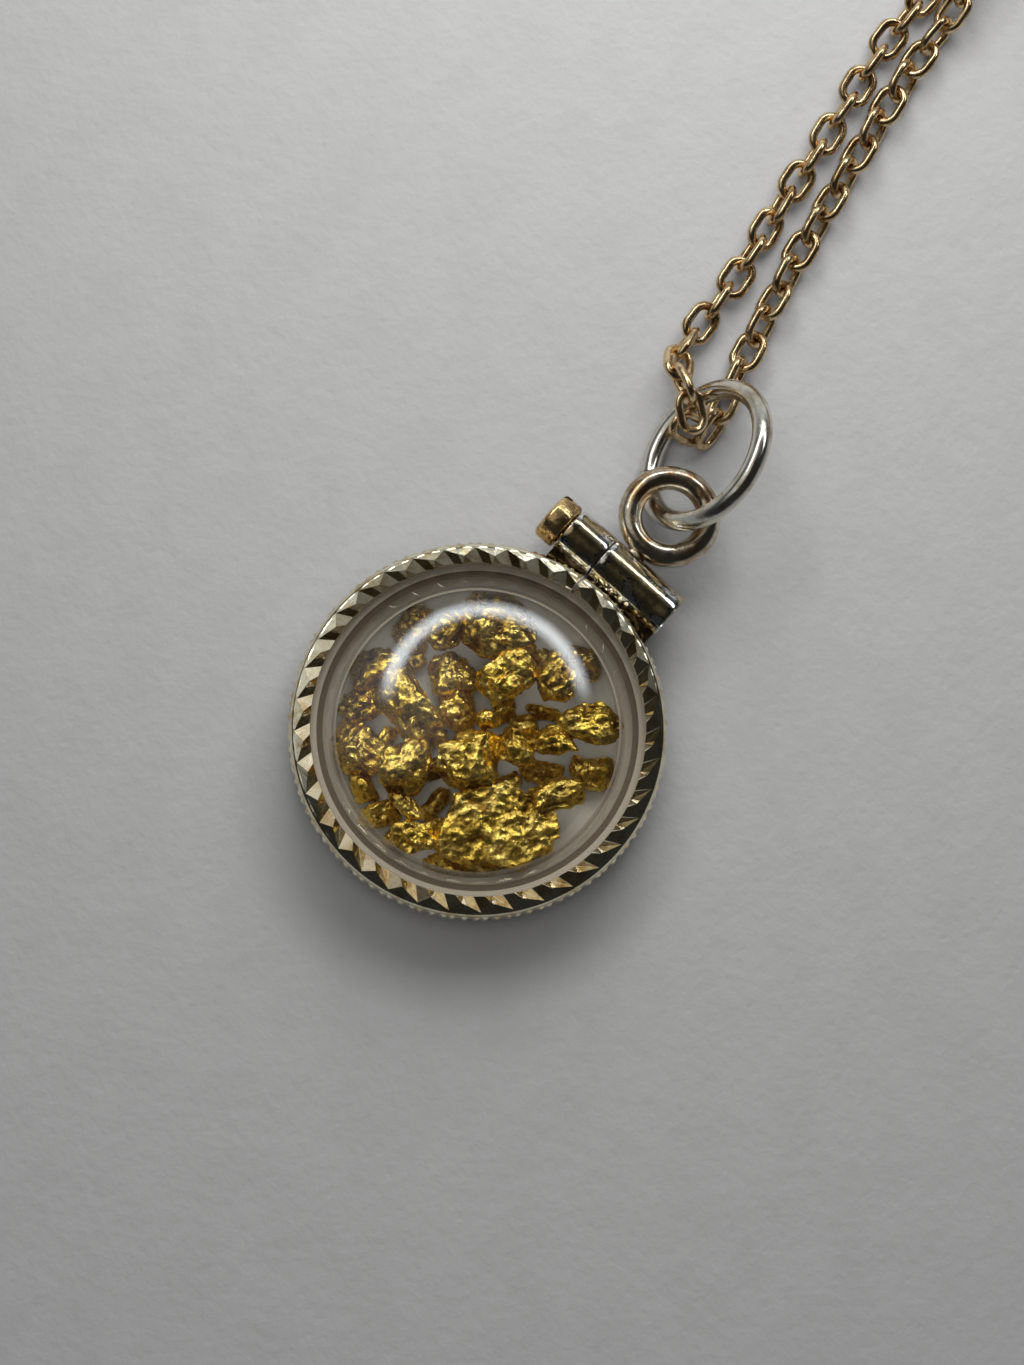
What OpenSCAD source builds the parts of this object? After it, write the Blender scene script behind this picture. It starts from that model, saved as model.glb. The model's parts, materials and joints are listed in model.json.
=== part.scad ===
// Screw-top bezel pendant: a split gold ring clamps two crystals over loose raw gold nuggets.
// Lies face up: +Z is the ring's axis, +Y runs to the bail and the chain, +X along the clamp screw.
// The origin is the centre of the flat ground on the back crystal, where the pendant rests.

/* [Bezel ring] */
// Outside diameter of the bezel ring
ring_d = 20; // [17:0.1:26]
// Height of the bezel ring
ring_h = 3.6; // [3:0.1:5]
// Wall behind the channel that holds the crystals
ring_wall = 0.75; // [0.6:0.05:1.2]
// How far the front lip laps over the crystal
lip_lap = 0.45; // [0.3:0.05:0.6]
// Thickness of the front and back lips
lip_t = 0.45; // [0.35:0.05:0.7]
// Rise of the front band from its inner edge to its crest
band_rise = 0.3; // [0.1:0.05:0.5]
// Width of the split in the ring
split_w = 0.2; // [0.1:0.05:0.5]
// Place of the split along the screw, from the middle of the ring
split_x = -1.2; // [-1.6:0.1:1.6]

/* [Crystals] */
// Play between the crystals and the ring's channel
crystal_fit = 0.08; // [0.04:0.02:0.15]
// Width of the flat flange that shows inside the lip
flange_show = 0.64; // [0.3:0.02:1.2]
// Rise of the front dome above its flange
dome_rise = 2; // [1.2:0.1:3]
// Thickness of the domed glass
glass_t = 0.5; // [0.35:0.05:0.8]
// How far the back crystal stands proud of the ring
back_proud = 0.7; // [0.4:0.1:1.2]
// Width of the slope round the back crystal's ground flat
back_slope = 1.6; // [1:0.1:2.5]

/* [Knuckles and screw] */
// Outside diameter of the two knuckle tubes
knuckle_d = 2.7; // [2.4:0.1:3.2]
// Length of the plain knuckle that the screw passes through
plain_len = 2.25; // [1.8:0.05:3]
// Length of the threaded knuckle
threaded_len = 4.65; // [4:0.05:6]
// Bore through both knuckles
knuckle_bore = 1.9; // [1.5:0.05:2]
// Running play round the screw, on the radius
screw_fit = 0.07; // [0.02:0.01:0.1]
// Length of the screw head
head_len = 1.3; // [0.8:0.1:2]
// Length of the screw's shank
shank_len = 5.2; // [4:0.1:6]
// Width of the driver slot
slot_w = 0.5; // [0.3:0.05:0.8]
// Depth of the driver slot
slot_depth = 0.55; // [0.3:0.05:0.7]

/* [Bail and jump ring] */
// Wire of the soldered bail ring
bail_wire = 1.3; // [1:0.05:1.4]
// Outside diameter of the bail ring
bail_d = 5.5; // [5.4:0.1:7]
// Wire of the jump ring
jump_wire = 1.1; // [0.7:0.05:1.15]
// Outside diameter of the jump ring
jump_d = 8.9; // [8.8:0.1:10]
// Lean of the jump ring from flat, in degrees
jump_lean = 50; // [48:1:56]

/* [Chain and clasp] */
// Width of one chain link
link_w = 1.8; // [1.6:0.05:2]
// Length of one chain link
link_len = 2.5; // [2.3:0.05:2.8]
// Wire of the chain
link_wire = 0.42; // [0.3:0.02:0.5]
// Outside diameter of the spring ring clasp
clasp_d = 5.6; // [5:0.1:7]
// Tube of the clasp
clasp_tube = 1.3; // [1.2:0.05:1.6]
// Wall of the clasp tube
clasp_wall = 0.15; // [0.12:0.01:0.2]
// Play round the clasp trigger, on the radius
trigger_fit = 0.06; // [0.03:0.01:0.1]

/* [Gold] */
// Height of the lower bed of nuggets
bed_h = 1.5; // [1.2:0.1:2]
// Size of every nugget against its listed size
nugget_size = 0.9; // [0.7:0.01:0.95]

/* [Hidden] */
nugget_names = [for (i = [1:24]) str("nugget_", i < 10 ? "0" : "", i)];
$fn = 64;
eps = 0.01;
joint_gap = 0.03;

// Stack of the ring and crystals
ring_r = ring_d / 2;
channel_r = ring_r - ring_wall;
lip_r = channel_r - lip_lap;
ring_z = back_proud;
front_lip_z = ring_z + ring_h - band_rise - lip_t;
flange_r = channel_r - crystal_fit;
back_r = lip_r - 0.3;
dome_r = lip_r - flange_show;
cavity_r = dome_r - glass_t;
floor_t = 0.6;
rim_t = 1.1;
part_z = ring_z + lip_t + rim_t;
flange_top = front_lip_z - crystal_fit;
dome_sphere_r = (dome_r * dome_r + dome_rise * dome_rise) / (2 * dome_rise);
dome_centre_z = flange_top + dome_rise - dome_sphere_r;

// Knuckles, screw and bail, all on one level
knuckle_r = knuckle_d / 2;
knuckle_lift = 2.1;
knuckle_z = ring_z + knuckle_lift;
knuckle_y = ring_r + knuckle_r - 0.05;
foot_h = 1.3;
plain_x = split_x - split_w / 2 - plain_len;
threaded_x = split_x + split_w / 2;
head_gap = 0.08;
bail_y = knuckle_y + knuckle_r + bail_d / 2 + joint_gap;
jump_r = (jump_d - jump_wire) / 2;
jump_turn = 18;
jump_x = -0.75;
jump_y = bail_y + 3.65;
jump_z = jump_wire / 2 + jump_r * sin(jump_lean);

// Chain: the route's points, from the centre link to the coil, measured from the jump ring's centre
chain_r = link_w / 2;
lay_z = 0.93;
top_lay_z = 2.85;
chain_at = [jump_x, jump_y, 0];
centre_link_at = chain_at + [-1.75, 0.92, 1.6];
centre_link_roll = 20;
centre_link_pitch = 40;
centre_link_yaw = 25;
left_route = [
    [-2.15, 1.42, 2.9], [-2.95, 1.97, 3.1], [-3.85, 2.52, 2.7], [-4.55, 3.32, 1.9],
    [-4.95, 4.42, 1.1], [-5.1, 5.82, lay_z], [-5.2, 7.42, lay_z], [-5.35, 9.22, lay_z],
    [-5.7, 10.92, lay_z], [-6, 12.72, lay_z], [-6.3, 14.52, lay_z], [-6.55, 16.32, lay_z],
    [-6.85, 18.32, lay_z], [-7.2, 20.42, lay_z], [-7.55, 22.42, lay_z], [-7.85, 24.42, lay_z],
    [-8, 26.42, lay_z], [-8.05, 28.42, lay_z], [-8.1, 30.42, lay_z], [-8.15, 32.42, lay_z],
    [-8.15, 34.42, lay_z], [-8.15, 36.42, lay_z], [-8.15, 38.42, lay_z], [-8.15, 40.42, lay_z],
    [-8.15, 42.42, lay_z], [-8.15, 43.92, lay_z]];
right_route = [
    [-0.85, 1.82, lay_z], [-1, 2.72, lay_z], [-1.35, 3.72, lay_z], [-1.75, 4.82, lay_z],
    [-2.05, 6.12, lay_z], [-2.45, 7.52, lay_z], [-2.85, 9.02, lay_z], [-3.25, 10.72, lay_z],
    [-3.65, 12.32, lay_z], [-3.95, 14.02, lay_z], [-4.3, 15.82, lay_z], [-4.65, 17.52, lay_z],
    [-4.95, 19.22, lay_z], [-5.25, 20.82, lay_z], [-5.55, 22.42, lay_z], [-5.8, 24.12, lay_z],
    [-6, 25.92, lay_z], [-6.15, 27.72, 1.1], [-6.45, 29.42, 1.7], [-7.05, 31.12, 2.4],
    [-7.65, 32.82, 2.8], [-8.05, 34.42, top_lay_z], [-8.15, 35.92, top_lay_z],
    [-8.15, 37.92, top_lay_z], [-8.15, 39.92, top_lay_z], [-8.15, 41.92, top_lay_z],
    [-8.15, 43.92, top_lay_z]];

// Coil of the rest of the chain, both strands, one wound on the other
coil_outer = 13;
coil_pitch = 1.95;
coil_turns = 3;
coil_inner = coil_outer - coil_pitch * coil_turns;
coil_x = jump_x + left_route[len(left_route) - 1][0] + coil_outer;
coil_y = jump_y + left_route[len(left_route) - 1][1];
coil_top = top_lay_z + chain_r + 0.02;
coil_round = 0.6;
left_tail = [[-6, 2.9, lay_z], [-5.3, 3.4, lay_z], [-4.5, 3.65, lay_z], [-3.55, 3.7, lay_z]];
right_tail = [[6, -4.2, 2.8], [4.6, -4.75, 2.5], [3.2, -4.9, 1.8], [1.9, -4.8, 1.15],
    [0.7, -4.6, 0.95], [-0.3, -4.4, lay_z]];

// Clasp, undone, in the middle of the coil
clasp_r = (clasp_d - clasp_tube) / 2;
clasp_tube_r = clasp_tube / 2;
clasp_bore_r = clasp_tube_r - clasp_wall;
trigger_r = clasp_bore_r - trigger_fit;
clasp_x = coil_x + 2;
clasp_y = coil_y + 2.2;
clasp_turn = -14.7;
mouth_angle = 62;
bore_end = 160;
trigger_start = -mouth_angle - 4;
trigger_end = 26;
nub_angle = 18;
nub_w = 0.44;
nub_reach = 1;
slot_start = 10;
slot_sweep = 76;
slot_h = 0.6;
spring_start = 28;
spring_end = 155;
spring_wall = 0.16;
eye_r = 0.8;
eye_wire = 0.4;
eye_x = -clasp_r - clasp_tube_r - eye_r + 0.1;
end_ring_r = 0.95;
end_ring_wire = 0.4;
end_ring_lift = end_ring_r + end_ring_wire / 2 - clasp_tube_r;
chain_end_at = [coil_x - 1.6, coil_y - 4.25, end_ring_wire / 2];

// Nuggets as [across, up, length, width, turn, bed]: bed 0 lies on the crystal, bed 1 on bed 0
pile_r = 7.66;
fill = cavity_r / pile_r;
nuggets = [
    [-6.3, 2, 2.3, 1.8, 115, 0], [-6.4, -1, 2.3, 1.8, 55, 0], [-5.7, -3, 2, 1.6, 60, 0],
    [-3.6, -1.5, 3.4, 2.2, 170, 1], [-4.7, 2.9, 2, 1.4, 100, 1], [-3, 1.6, 2.2, 2, 40, 0],
    [-2.6, 4.7, 3.6, 2.3, 40, 1], [-3.6, 5.9, 3, 1.3, 35, 0], [-0.8, 3.3, 3, 2.1, 65, 1],
    [1.3, 4.8, 2.2, 2.1, 10, 1], [1.7, 6.5, 1.9, 1.7, 160, 0], [-1.6, 0.3, 2.1, 1.8, 160, 0],
    [4.1, 4.3, 3, 1.9, 35, 1], [3.3, 2.4, 2.2, 1.4, 50, 1], [2.1, 0.7, 1.9, 1.6, 20, 1],
    [5.9, 2.6, 2, 1.7, 25, 0], [5.3, 0.3, 2.8, 1.5, 50, 1], [-4.1, -4.8, 2.9, 2.3, 0, 0],
    [-1.7, -3.9, 3, 2.2, 120, 1], [0.6, -1.5, 3.1, 2.6, 55, 1], [1.2, -6.5, 2.1, 1.5, 35, 1],
    [-1, -6.6, 2, 1.2, 60, 0], [3.9, 0.8, 2, 1.1, 30, 0], [-0.2, -5.4, 1.9, 0.9, 175, 1]];
small_list = [
    [-5, 0.8, 1, 0.8, 70, 0], [-0.2, 5.4, 1.4, 0.9, 40, 0], [0.2, 2, 1.3, 1.1, 70, 0],
    [0, 0.8, 1.2, 0.9, 10, 1], [1.9, 3.3, 1.7, 0.8, 20, 0], [1.6, 1.9, 1.6, 1.3, 60, 0],
    [-3.5, -3.2, 1.1, 0.8, 100, 0], [-2.6, -6.2, 1.6, 1.1, 160, 0],
    [-0.6, -3.1, 1.2, 1.1, 40, 0], [-1.6, -1.7, 1.5, 0.8, 65, 0],
    [0.8, -4.2, 1.7, 0.9, 90, 0], [1.6, -5.3, 1.2, 0.8, 65, 0], [3, -1.1, 1.6, 1, 65, 0],
    [3.4, -6.3, 2, 1.1, 25, 0], [4.8, -5, 1.9, 1, 40, 0], [6.2, -2.3, 1.7, 1.4, 40, 0],
    [0.6, -7.1, 1.3, 0.9, 10, 0], [2.4, -2.6, 1, 0.8, 40, 0]];
flake = [4.1, -3.2, 5.6, 4, 55, 1];
grain = [2.1, -2.9, 0.8, 0.6, 40, 1];

// A fixed scatter between 0 and 1 for a pair of whole numbers
function scatter(i, k) = let (v = sin(i * 127.1 + k * 311.7) * 437.5853) v - floor(v);

function unit(v) = v / norm(v);

// A round tube swept along points that run level or nearly so
module sweep(points, r, sides = 8) {
    n = len(points);
    rings = [for (i = [0:n - 1])
        let (ahead = unit(points[min(i + 1, n - 1)] - points[max(i - 1, 0)]),
             across = unit(cross(ahead, [0, 0, 1])),
             over = cross(across, ahead))
        for (k = [0:sides - 1])
            let (a = 360 * (k + 0.5) / sides)
            points[i] + r * (cos(a) * across + sin(a) * over)];
    walls = [for (i = [0:n - 2], k = [0:sides - 1])
        let (a = i * sides + k, b = i * sides + (k + 1) % sides)
        each [[a, a + sides, b + sides], [a, b + sides, b]]];
    ends = [[for (k = [0:sides - 1]) k], [for (k = [sides - 1:-1:0]) (n - 1) * sides + k]];
    polyhedron(rings, concat(walls, ends), convexity = 6);
}

// Part of a torus from angle a0 to a1
module arc_bar(radius, r, a0 = 0, a1 = 360) {
    rotate([0, 0, a0]) rotate_extrude(angle = a1 - a0, $fn = 64)
        translate([radius, 0]) circle(r, $fn = 32);
}

// A rough lump of gold with length l, width w and height h, standing on z = 0
module lump(l, w, h, seed) {
    sides = 8;
    rows = 4;
    points = concat([[0, 0, 0]],
        [for (j = [1:rows], k = [0:sides - 1])
            let (a = 360 * k / sides + 12 * scatter(seed, j * 9 + k),
                 e = -90 + 180 * j / (rows + 1),
                 q = 0.86 + 0.14 * scatter(seed + 3, j * 17 + k))
            [l / 2 * q * cos(a) * cos(e), w / 2 * q * sin(a) * cos(e), h / 2 * (1 + q * sin(e))]],
        [[0, 0, h]]);
    top = rows * sides + 1;
    faces = concat(
        [for (k = [0:sides - 1]) [0, 1 + k, 1 + (k + 1) % sides]],
        [for (j = [0:rows - 2], k = [0:sides - 1])
            let (a = 1 + j * sides + k, b = 1 + j * sides + (k + 1) % sides)
            each [[a, a + sides, b + sides], [a, b + sides, b]]],
        [for (k = [0:sides - 1])
            [top, top - sides + (k + 1) % sides, top - sides + k]]);
    polyhedron(points, faces, convexity = 4);
}

// One listed nugget in its place in the pile
module placed(n, seed, h = 0) {
    size = fill * nugget_size;
    thick = h > 0 ? h : min(0.8 * n[3], 1.5) * size;
    bed = n[5] == 0 ? 0 : bed_h;
    translate([n[0] * fill, n[1] * fill, floor_t + joint_gap + bed])
        rotate([0, 0, n[4]]) lump(n[2] * size, n[3] * size, thick, seed);
}

module bezel_ring() {
    lip_top = ring_h - band_rise;
    color("#d8c69a") difference() {
        translate([0, 0, ring_z]) rotate_extrude($fn = 128) polygon([
            [back_r + 0.15, 0], [ring_r - 0.3, 0], [ring_r, 0.3], [ring_r, ring_h - 0.7],
            [ring_r - 0.2, ring_h - 0.25], [ring_r - 0.65, ring_h], [lip_r, lip_top],
            [lip_r, lip_top - lip_t], [channel_r, lip_top - lip_t], [channel_r, lip_t],
            [back_r + 0.15, lip_t]]);
        translate([split_x - split_w / 2, 0, ring_z - eps]) cube([split_w, ring_r + 1, ring_h + 1]);
    }
}

module front_crystal() {
    color("#e8ecec", 0.35) {
        difference() {
            union() {
                translate([0, 0, part_z]) cylinder(r = flange_r, h = flange_top - part_z, $fn = 128);
                intersection() {
                    translate([0, 0, dome_centre_z]) sphere(dome_sphere_r, $fn = 128);
                    translate([0, 0, flange_top - eps])
                        cylinder(r = dome_r, h = dome_rise + 1, $fn = 128);
                }
            }
            intersection() {
                translate([0, 0, dome_centre_z]) sphere(dome_sphere_r - glass_t, $fn = 128);
                translate([0, 0, part_z - 1]) cylinder(r = cavity_r, h = dome_rise + ring_h, $fn = 128);
            }
        }
    }
}

module back_crystal() {
    color("#e8ecec", 0.35) rotate_extrude($fn = 128) polygon([
        [0, 0], [back_r - back_slope, 0], [back_r, back_proud - 0.1], [back_r, ring_z + lip_t + 0.05],
        [flange_r, ring_z + lip_t + 0.05], [flange_r, part_z - joint_gap],
        [cavity_r + 0.2, part_z - joint_gap], [cavity_r + 0.2, floor_t + 0.6],
        [cavity_r - 0.3, floor_t], [0, floor_t]]);
}

// A knuckle tube from x to x + l, with the foot that solders it to the ring
module knuckle(x, l) {
    difference() {
        union() {
            translate([x, knuckle_y, knuckle_z]) rotate([0, 90, 0]) cylinder(d = knuckle_d, h = l);
            translate([x, ring_r - 2, knuckle_z - foot_h / 2]) cube([l, 2 + knuckle_r, foot_h]);
        }
        translate([x - 1, knuckle_y, knuckle_z]) rotate([0, 90, 0])
            cylinder(d = knuckle_bore, h = l + 2);
        translate([0, 0, ring_z]) cylinder(r = ring_r + joint_gap, h = ring_h, $fn = 128);
    }
}
module plain_knuckle() {
    color("#cfd0cc") knuckle(plain_x, plain_len);
}
module threaded_knuckle() {
    color("#cfd0cc") knuckle(threaded_x, threaded_len);
}

module clamp_screw() {
    head_x = plain_x - head_gap - head_len;
    color("#d9ab45") translate([head_x, knuckle_y, knuckle_z]) rotate([0, 90, 0]) difference() {
        union() {
            cylinder(d = knuckle_d, h = head_len);
            cylinder(d = knuckle_bore - 2 * screw_fit, h = head_len + shank_len);
        }
        translate([-knuckle_d, -slot_w / 2, -eps]) cube([2 * knuckle_d, slot_w, slot_depth + eps]);
    }
}

module bail_ring() {
    color("#c9c4b6") translate([0, bail_y, knuckle_z]) arc_bar((bail_d - bail_wire) / 2, bail_wire / 2);
}

module jump_ring() {
    color("#c9c8c0") translate([jump_x, jump_y, jump_z]) rotate([0, 0, jump_turn])
        rotate([0, -jump_lean, 0]) arc_bar(jump_r, jump_wire / 2);
}

module gold_flake() {
    color("#b8932e") placed(flake, 91, 0.8);
}
module quartz_grain() {
    color("#e2ddcf") placed(grain, 92);
}
module small_nuggets() {
    color("#b8932e") for (i = [0:len(small_list) - 1]) placed(small_list[i], 40 + i);
}
module nugget(i) {
    color("#c29a32") placed(nuggets[i], i + 1);
}

// A chain link lying along X, centred
module link() {
    bend_r = (link_w - link_wire) / 2;
    straight = link_len - link_w;
    for (s = [0, 180]) rotate([0, 0, s]) {
        translate([straight / 2, 0, 0]) arc_bar(bend_r, link_wire / 2, -90, 90);
        translate([-straight / 2, bend_r, 0]) rotate([0, 90, 0])
            cylinder(d = link_wire, h = straight, $fn = 32);
    }
}
module chain_centre_link() {
    color("#c79a55") translate(centre_link_at) rotate([0, 0, centre_link_yaw])
        rotate([0, centre_link_pitch, 0]) rotate([centre_link_roll, 0, 0]) link();
}

module chain_run_left() {
    color("#c79a55") translate(chain_at) sweep(left_route, chain_r);
}
module chain_run_right() {
    color("#c79a55") translate(chain_at) sweep(right_route, chain_r);
}
module chain_coil() {
    inside = coil_inner - chain_r;
    outside = coil_outer + chain_r;
    color("#c79a55") translate([coil_x, coil_y, 0]) rotate_extrude($fn = 128) polygon([
        [inside, 0], [outside - coil_round, 0], [outside, coil_round], [outside, coil_top - coil_round],
        [outside - coil_round, coil_top], [inside, coil_top]]);
}
module chain_tail_left() {
    color("#c79a55") translate([coil_x, coil_y, 0]) sweep(left_tail, chain_r);
}
module chain_tail_right() {
    color("#c79a55") translate([coil_x, coil_y, 0]) sweep(right_tail, chain_r);
}

// Moves a clasp piece, drawn about the clasp's centre, to where the clasp lies
module in_clasp() {
    translate([clasp_x, clasp_y, clasp_tube_r]) rotate([180, 0, clasp_turn]) children();
}
module clasp_body() {
    color("#cfa052") in_clasp() difference() {
        union() {
            arc_bar(clasp_r, clasp_tube_r, 0, 360 - mouth_angle);
            translate([eye_x, 0, 0]) arc_bar(eye_r, eye_wire / 2);
        }
        arc_bar(clasp_r, clasp_bore_r, -1, bore_end);
        arc_bar(clasp_r, clasp_bore_r, 352 - mouth_angle, 361 - mouth_angle);
        rotate([0, 0, slot_start]) rotate_extrude(angle = slot_sweep)
            translate([clasp_r, -slot_h / 2]) square([clasp_tube, slot_h]);
    }
}
module clasp_trigger() {
    color("#cfa052") in_clasp() {
        arc_bar(clasp_r, trigger_r, trigger_start, trigger_end);
        rotate([0, 0, nub_angle]) translate([clasp_r + 0.1, -nub_w / 2, -nub_w / 2])
            cube([nub_reach, nub_w, nub_w]);
    }
}
module clasp_spring() {
    color("#b9b9b4") in_clasp() difference() {
        arc_bar(clasp_r, trigger_r - 0.04, spring_start, spring_end);
        arc_bar(clasp_r, trigger_r - 0.04 - spring_wall, spring_start - 1, spring_end + 1);
    }
}
module clasp_end_ring() {
    reach = sqrt(end_ring_r * end_ring_r - end_ring_lift * end_ring_lift);
    color("#cfa052") in_clasp() translate([eye_x - reach, 0, -end_ring_lift])
        rotate([90, 0, 0]) arc_bar(end_ring_r, end_ring_wire / 2);
}
module chain_end_ring() {
    color("#cfa052") translate(chain_end_at)
        arc_bar(end_ring_r, end_ring_wire / 2);
}

bezel_ring();
front_crystal();
back_crystal();
plain_knuckle();
threaded_knuckle();
clamp_screw();
bail_ring();
jump_ring();
gold_flake();
quartz_grain();
small_nuggets();
chain_centre_link();
chain_run_left();
chain_run_right();
chain_coil();
chain_tail_left();
chain_tail_right();
clasp_body();
clasp_trigger();
clasp_spring();
clasp_end_ring();
chain_end_ring();
for (i = [0:len(nuggets) - 1]) nugget(i);
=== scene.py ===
"""Looks of the gold nugget locket.

A split bezel ring clamps two crystals over loose raw gold. A screw closes the ring, and a bail, a jump
ring and a cable chain with a spring ring clasp carry it. Sizes are in millimetres in the classes and in
metres on the meshes.
"""

import sys

import json
import logging
import math
from dataclasses import dataclass
from enum import Enum
from typing import Any, Sequence

import bmesh
import bpy
import numpy as np
from mathutils import Matrix, Vector

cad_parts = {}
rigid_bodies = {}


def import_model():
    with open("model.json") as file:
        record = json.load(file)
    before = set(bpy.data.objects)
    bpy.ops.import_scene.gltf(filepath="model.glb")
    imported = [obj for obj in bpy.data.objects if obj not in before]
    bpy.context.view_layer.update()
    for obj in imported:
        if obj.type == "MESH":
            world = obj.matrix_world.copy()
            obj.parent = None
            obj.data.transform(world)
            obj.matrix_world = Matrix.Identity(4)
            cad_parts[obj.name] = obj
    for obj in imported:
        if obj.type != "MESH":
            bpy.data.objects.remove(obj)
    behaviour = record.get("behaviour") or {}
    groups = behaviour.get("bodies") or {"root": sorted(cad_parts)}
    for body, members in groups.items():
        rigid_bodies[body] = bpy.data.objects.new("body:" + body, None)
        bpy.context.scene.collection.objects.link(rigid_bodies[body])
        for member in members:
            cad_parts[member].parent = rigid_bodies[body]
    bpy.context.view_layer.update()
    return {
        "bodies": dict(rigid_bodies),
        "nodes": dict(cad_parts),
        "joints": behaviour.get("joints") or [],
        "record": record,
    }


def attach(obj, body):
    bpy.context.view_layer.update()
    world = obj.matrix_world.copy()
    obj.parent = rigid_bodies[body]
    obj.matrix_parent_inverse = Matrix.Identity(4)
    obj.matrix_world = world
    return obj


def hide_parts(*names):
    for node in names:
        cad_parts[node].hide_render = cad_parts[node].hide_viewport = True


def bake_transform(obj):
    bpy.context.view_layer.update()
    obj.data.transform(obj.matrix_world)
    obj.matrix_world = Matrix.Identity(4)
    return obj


LOG = logging.getLogger("locket")
MM = 0.001
PENDANT = "pendant"
LATTICE_PRIMES = (374761393, 668265263, 2246822519, 3266489917)
Colour = tuple[float, float, float]
Faces = list[tuple[int, ...]]


class Slot(Enum):
    """The record's material slots."""

    BEZEL = "bezel_gold"
    CRYSTAL = "crystal"
    KNUCKLE = "polished_knuckle"
    SCREW = "screw_gold"
    BAIL = "tarnished_ring"
    JUMP = "jump_ring_silver"
    RAW_GOLD = "raw_gold"
    QUARTZ = "quartz"
    CHAIN = "chain_gold"
    CLASP = "clasp_gold"
    SPRING = "spring_steel"


# ---------------------------------------------------------------- finishes


class Graph:
    """Lays out one material's nodes."""

    def __init__(self, name: str) -> None:
        """Starts an empty material.

        Args:
            name: The material's name.
        """
        self.material = bpy.data.materials.new(name)
        self.material.use_nodes = True
        self.tree = self.material.node_tree
        self.tree.nodes.clear()
        self.output = self.tree.nodes.new("ShaderNodeOutputMaterial")
        self.coords = self.add("ShaderNodeTexCoord").outputs["Object"]

    def add(self, kind: str, inputs: dict[str, Any] | None = None, **settings: Any) -> bpy.types.Node:
        """Adds a node.

        Args:
            kind: The node's type.
            inputs: Values or sockets for its inputs, by name.
            **settings: Properties of the node.

        Returns:
            The node.
        """
        node = self.tree.nodes.new(kind)
        for key, value in settings.items():
            setattr(node, key, value)
        for key, value in (inputs or {}).items():
            if isinstance(value, bpy.types.NodeSocket):
                self.tree.links.new(value, node.inputs[key])
            else:
                node.inputs[key].default_value = value
        return node

    def noise(
        self, size: float, detail: float = 4.0, rough: float = 0.55, stretch: Colour = (1.0, 1.0, 1.0)
    ) -> bpy.types.NodeSocket:
        """Noise on the object's own coordinates.

        Args:
            size: Size of the features in millimetres.
            detail: Octaves.
            rough: Strength of the finer octaves.
            stretch: Scale along each axis, for drawn-out marks.

        Returns:
            The noise's factor socket.
        """
        mapped = self.add("ShaderNodeMapping", {"Vector": self.coords, "Scale": stretch})
        values = {"Vector": mapped.outputs[0], "Scale": 1 / (size * MM)}
        values |= {"Detail": detail, "Roughness": rough}
        return self.add("ShaderNodeTexNoise", values).outputs["Fac"]

    def between(
        self, value: bpy.types.NodeSocket, low: float, high: float, start: float, end: float
    ) -> bpy.types.NodeSocket:
        """Maps a value from one span to another, clamped.

        Args:
            value: The socket to map.
            low: Where the first span starts.
            high: Where the first span ends.
            start: What low becomes.
            end: What high becomes.

        Returns:
            The mapped socket.
        """
        values = {"Value": value, "From Min": low, "From Max": high, "To Min": start, "To Max": end}
        return self.add("ShaderNodeMapRange", values).outputs["Result"]

    def blend(self, share: bpy.types.NodeSocket | float, a: Any, b: Any) -> bpy.types.NodeSocket:
        """Mixes two colours.

        Args:
            share: Share of the second colour.
            a: The first colour, or a socket.
            b: The second colour, or a socket.

        Returns:
            The mixed colour's socket.
        """
        mix = self.add("ShaderNodeMix", data_type="RGBA")
        for socket, value in ((mix.inputs[0], share), (mix.inputs[6], a), (mix.inputs[7], b)):
            if isinstance(value, bpy.types.NodeSocket):
                self.tree.links.new(value, socket)
            else:
                socket.default_value = value if isinstance(value, float) else (*value, 1.0)
        return mix.outputs[2]

    def bump(
        self, height: bpy.types.NodeSocket, depth: float, under: bpy.types.NodeSocket | None = None
    ) -> bpy.types.NodeSocket:
        """Bump from a height.

        Args:
            height: The height's socket, 0 to 1.
            depth: Its depth in millimetres.
            under: Another normal that it lies on.

        Returns:
            The normal's socket.
        """
        values: dict[str, Any] = {"Height": height, "Strength": 1.0, "Distance": depth * MM}
        if under is not None:
            values["Normal"] = under
        return self.add("ShaderNodeBump", values).outputs["Normal"]

    def finish(self, shader: bpy.types.Node) -> bpy.types.Material:
        """Joins the last shader to the output and returns the material."""
        self.tree.links.new(shader.outputs[0], self.output.inputs["Surface"])
        return self.material


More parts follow.
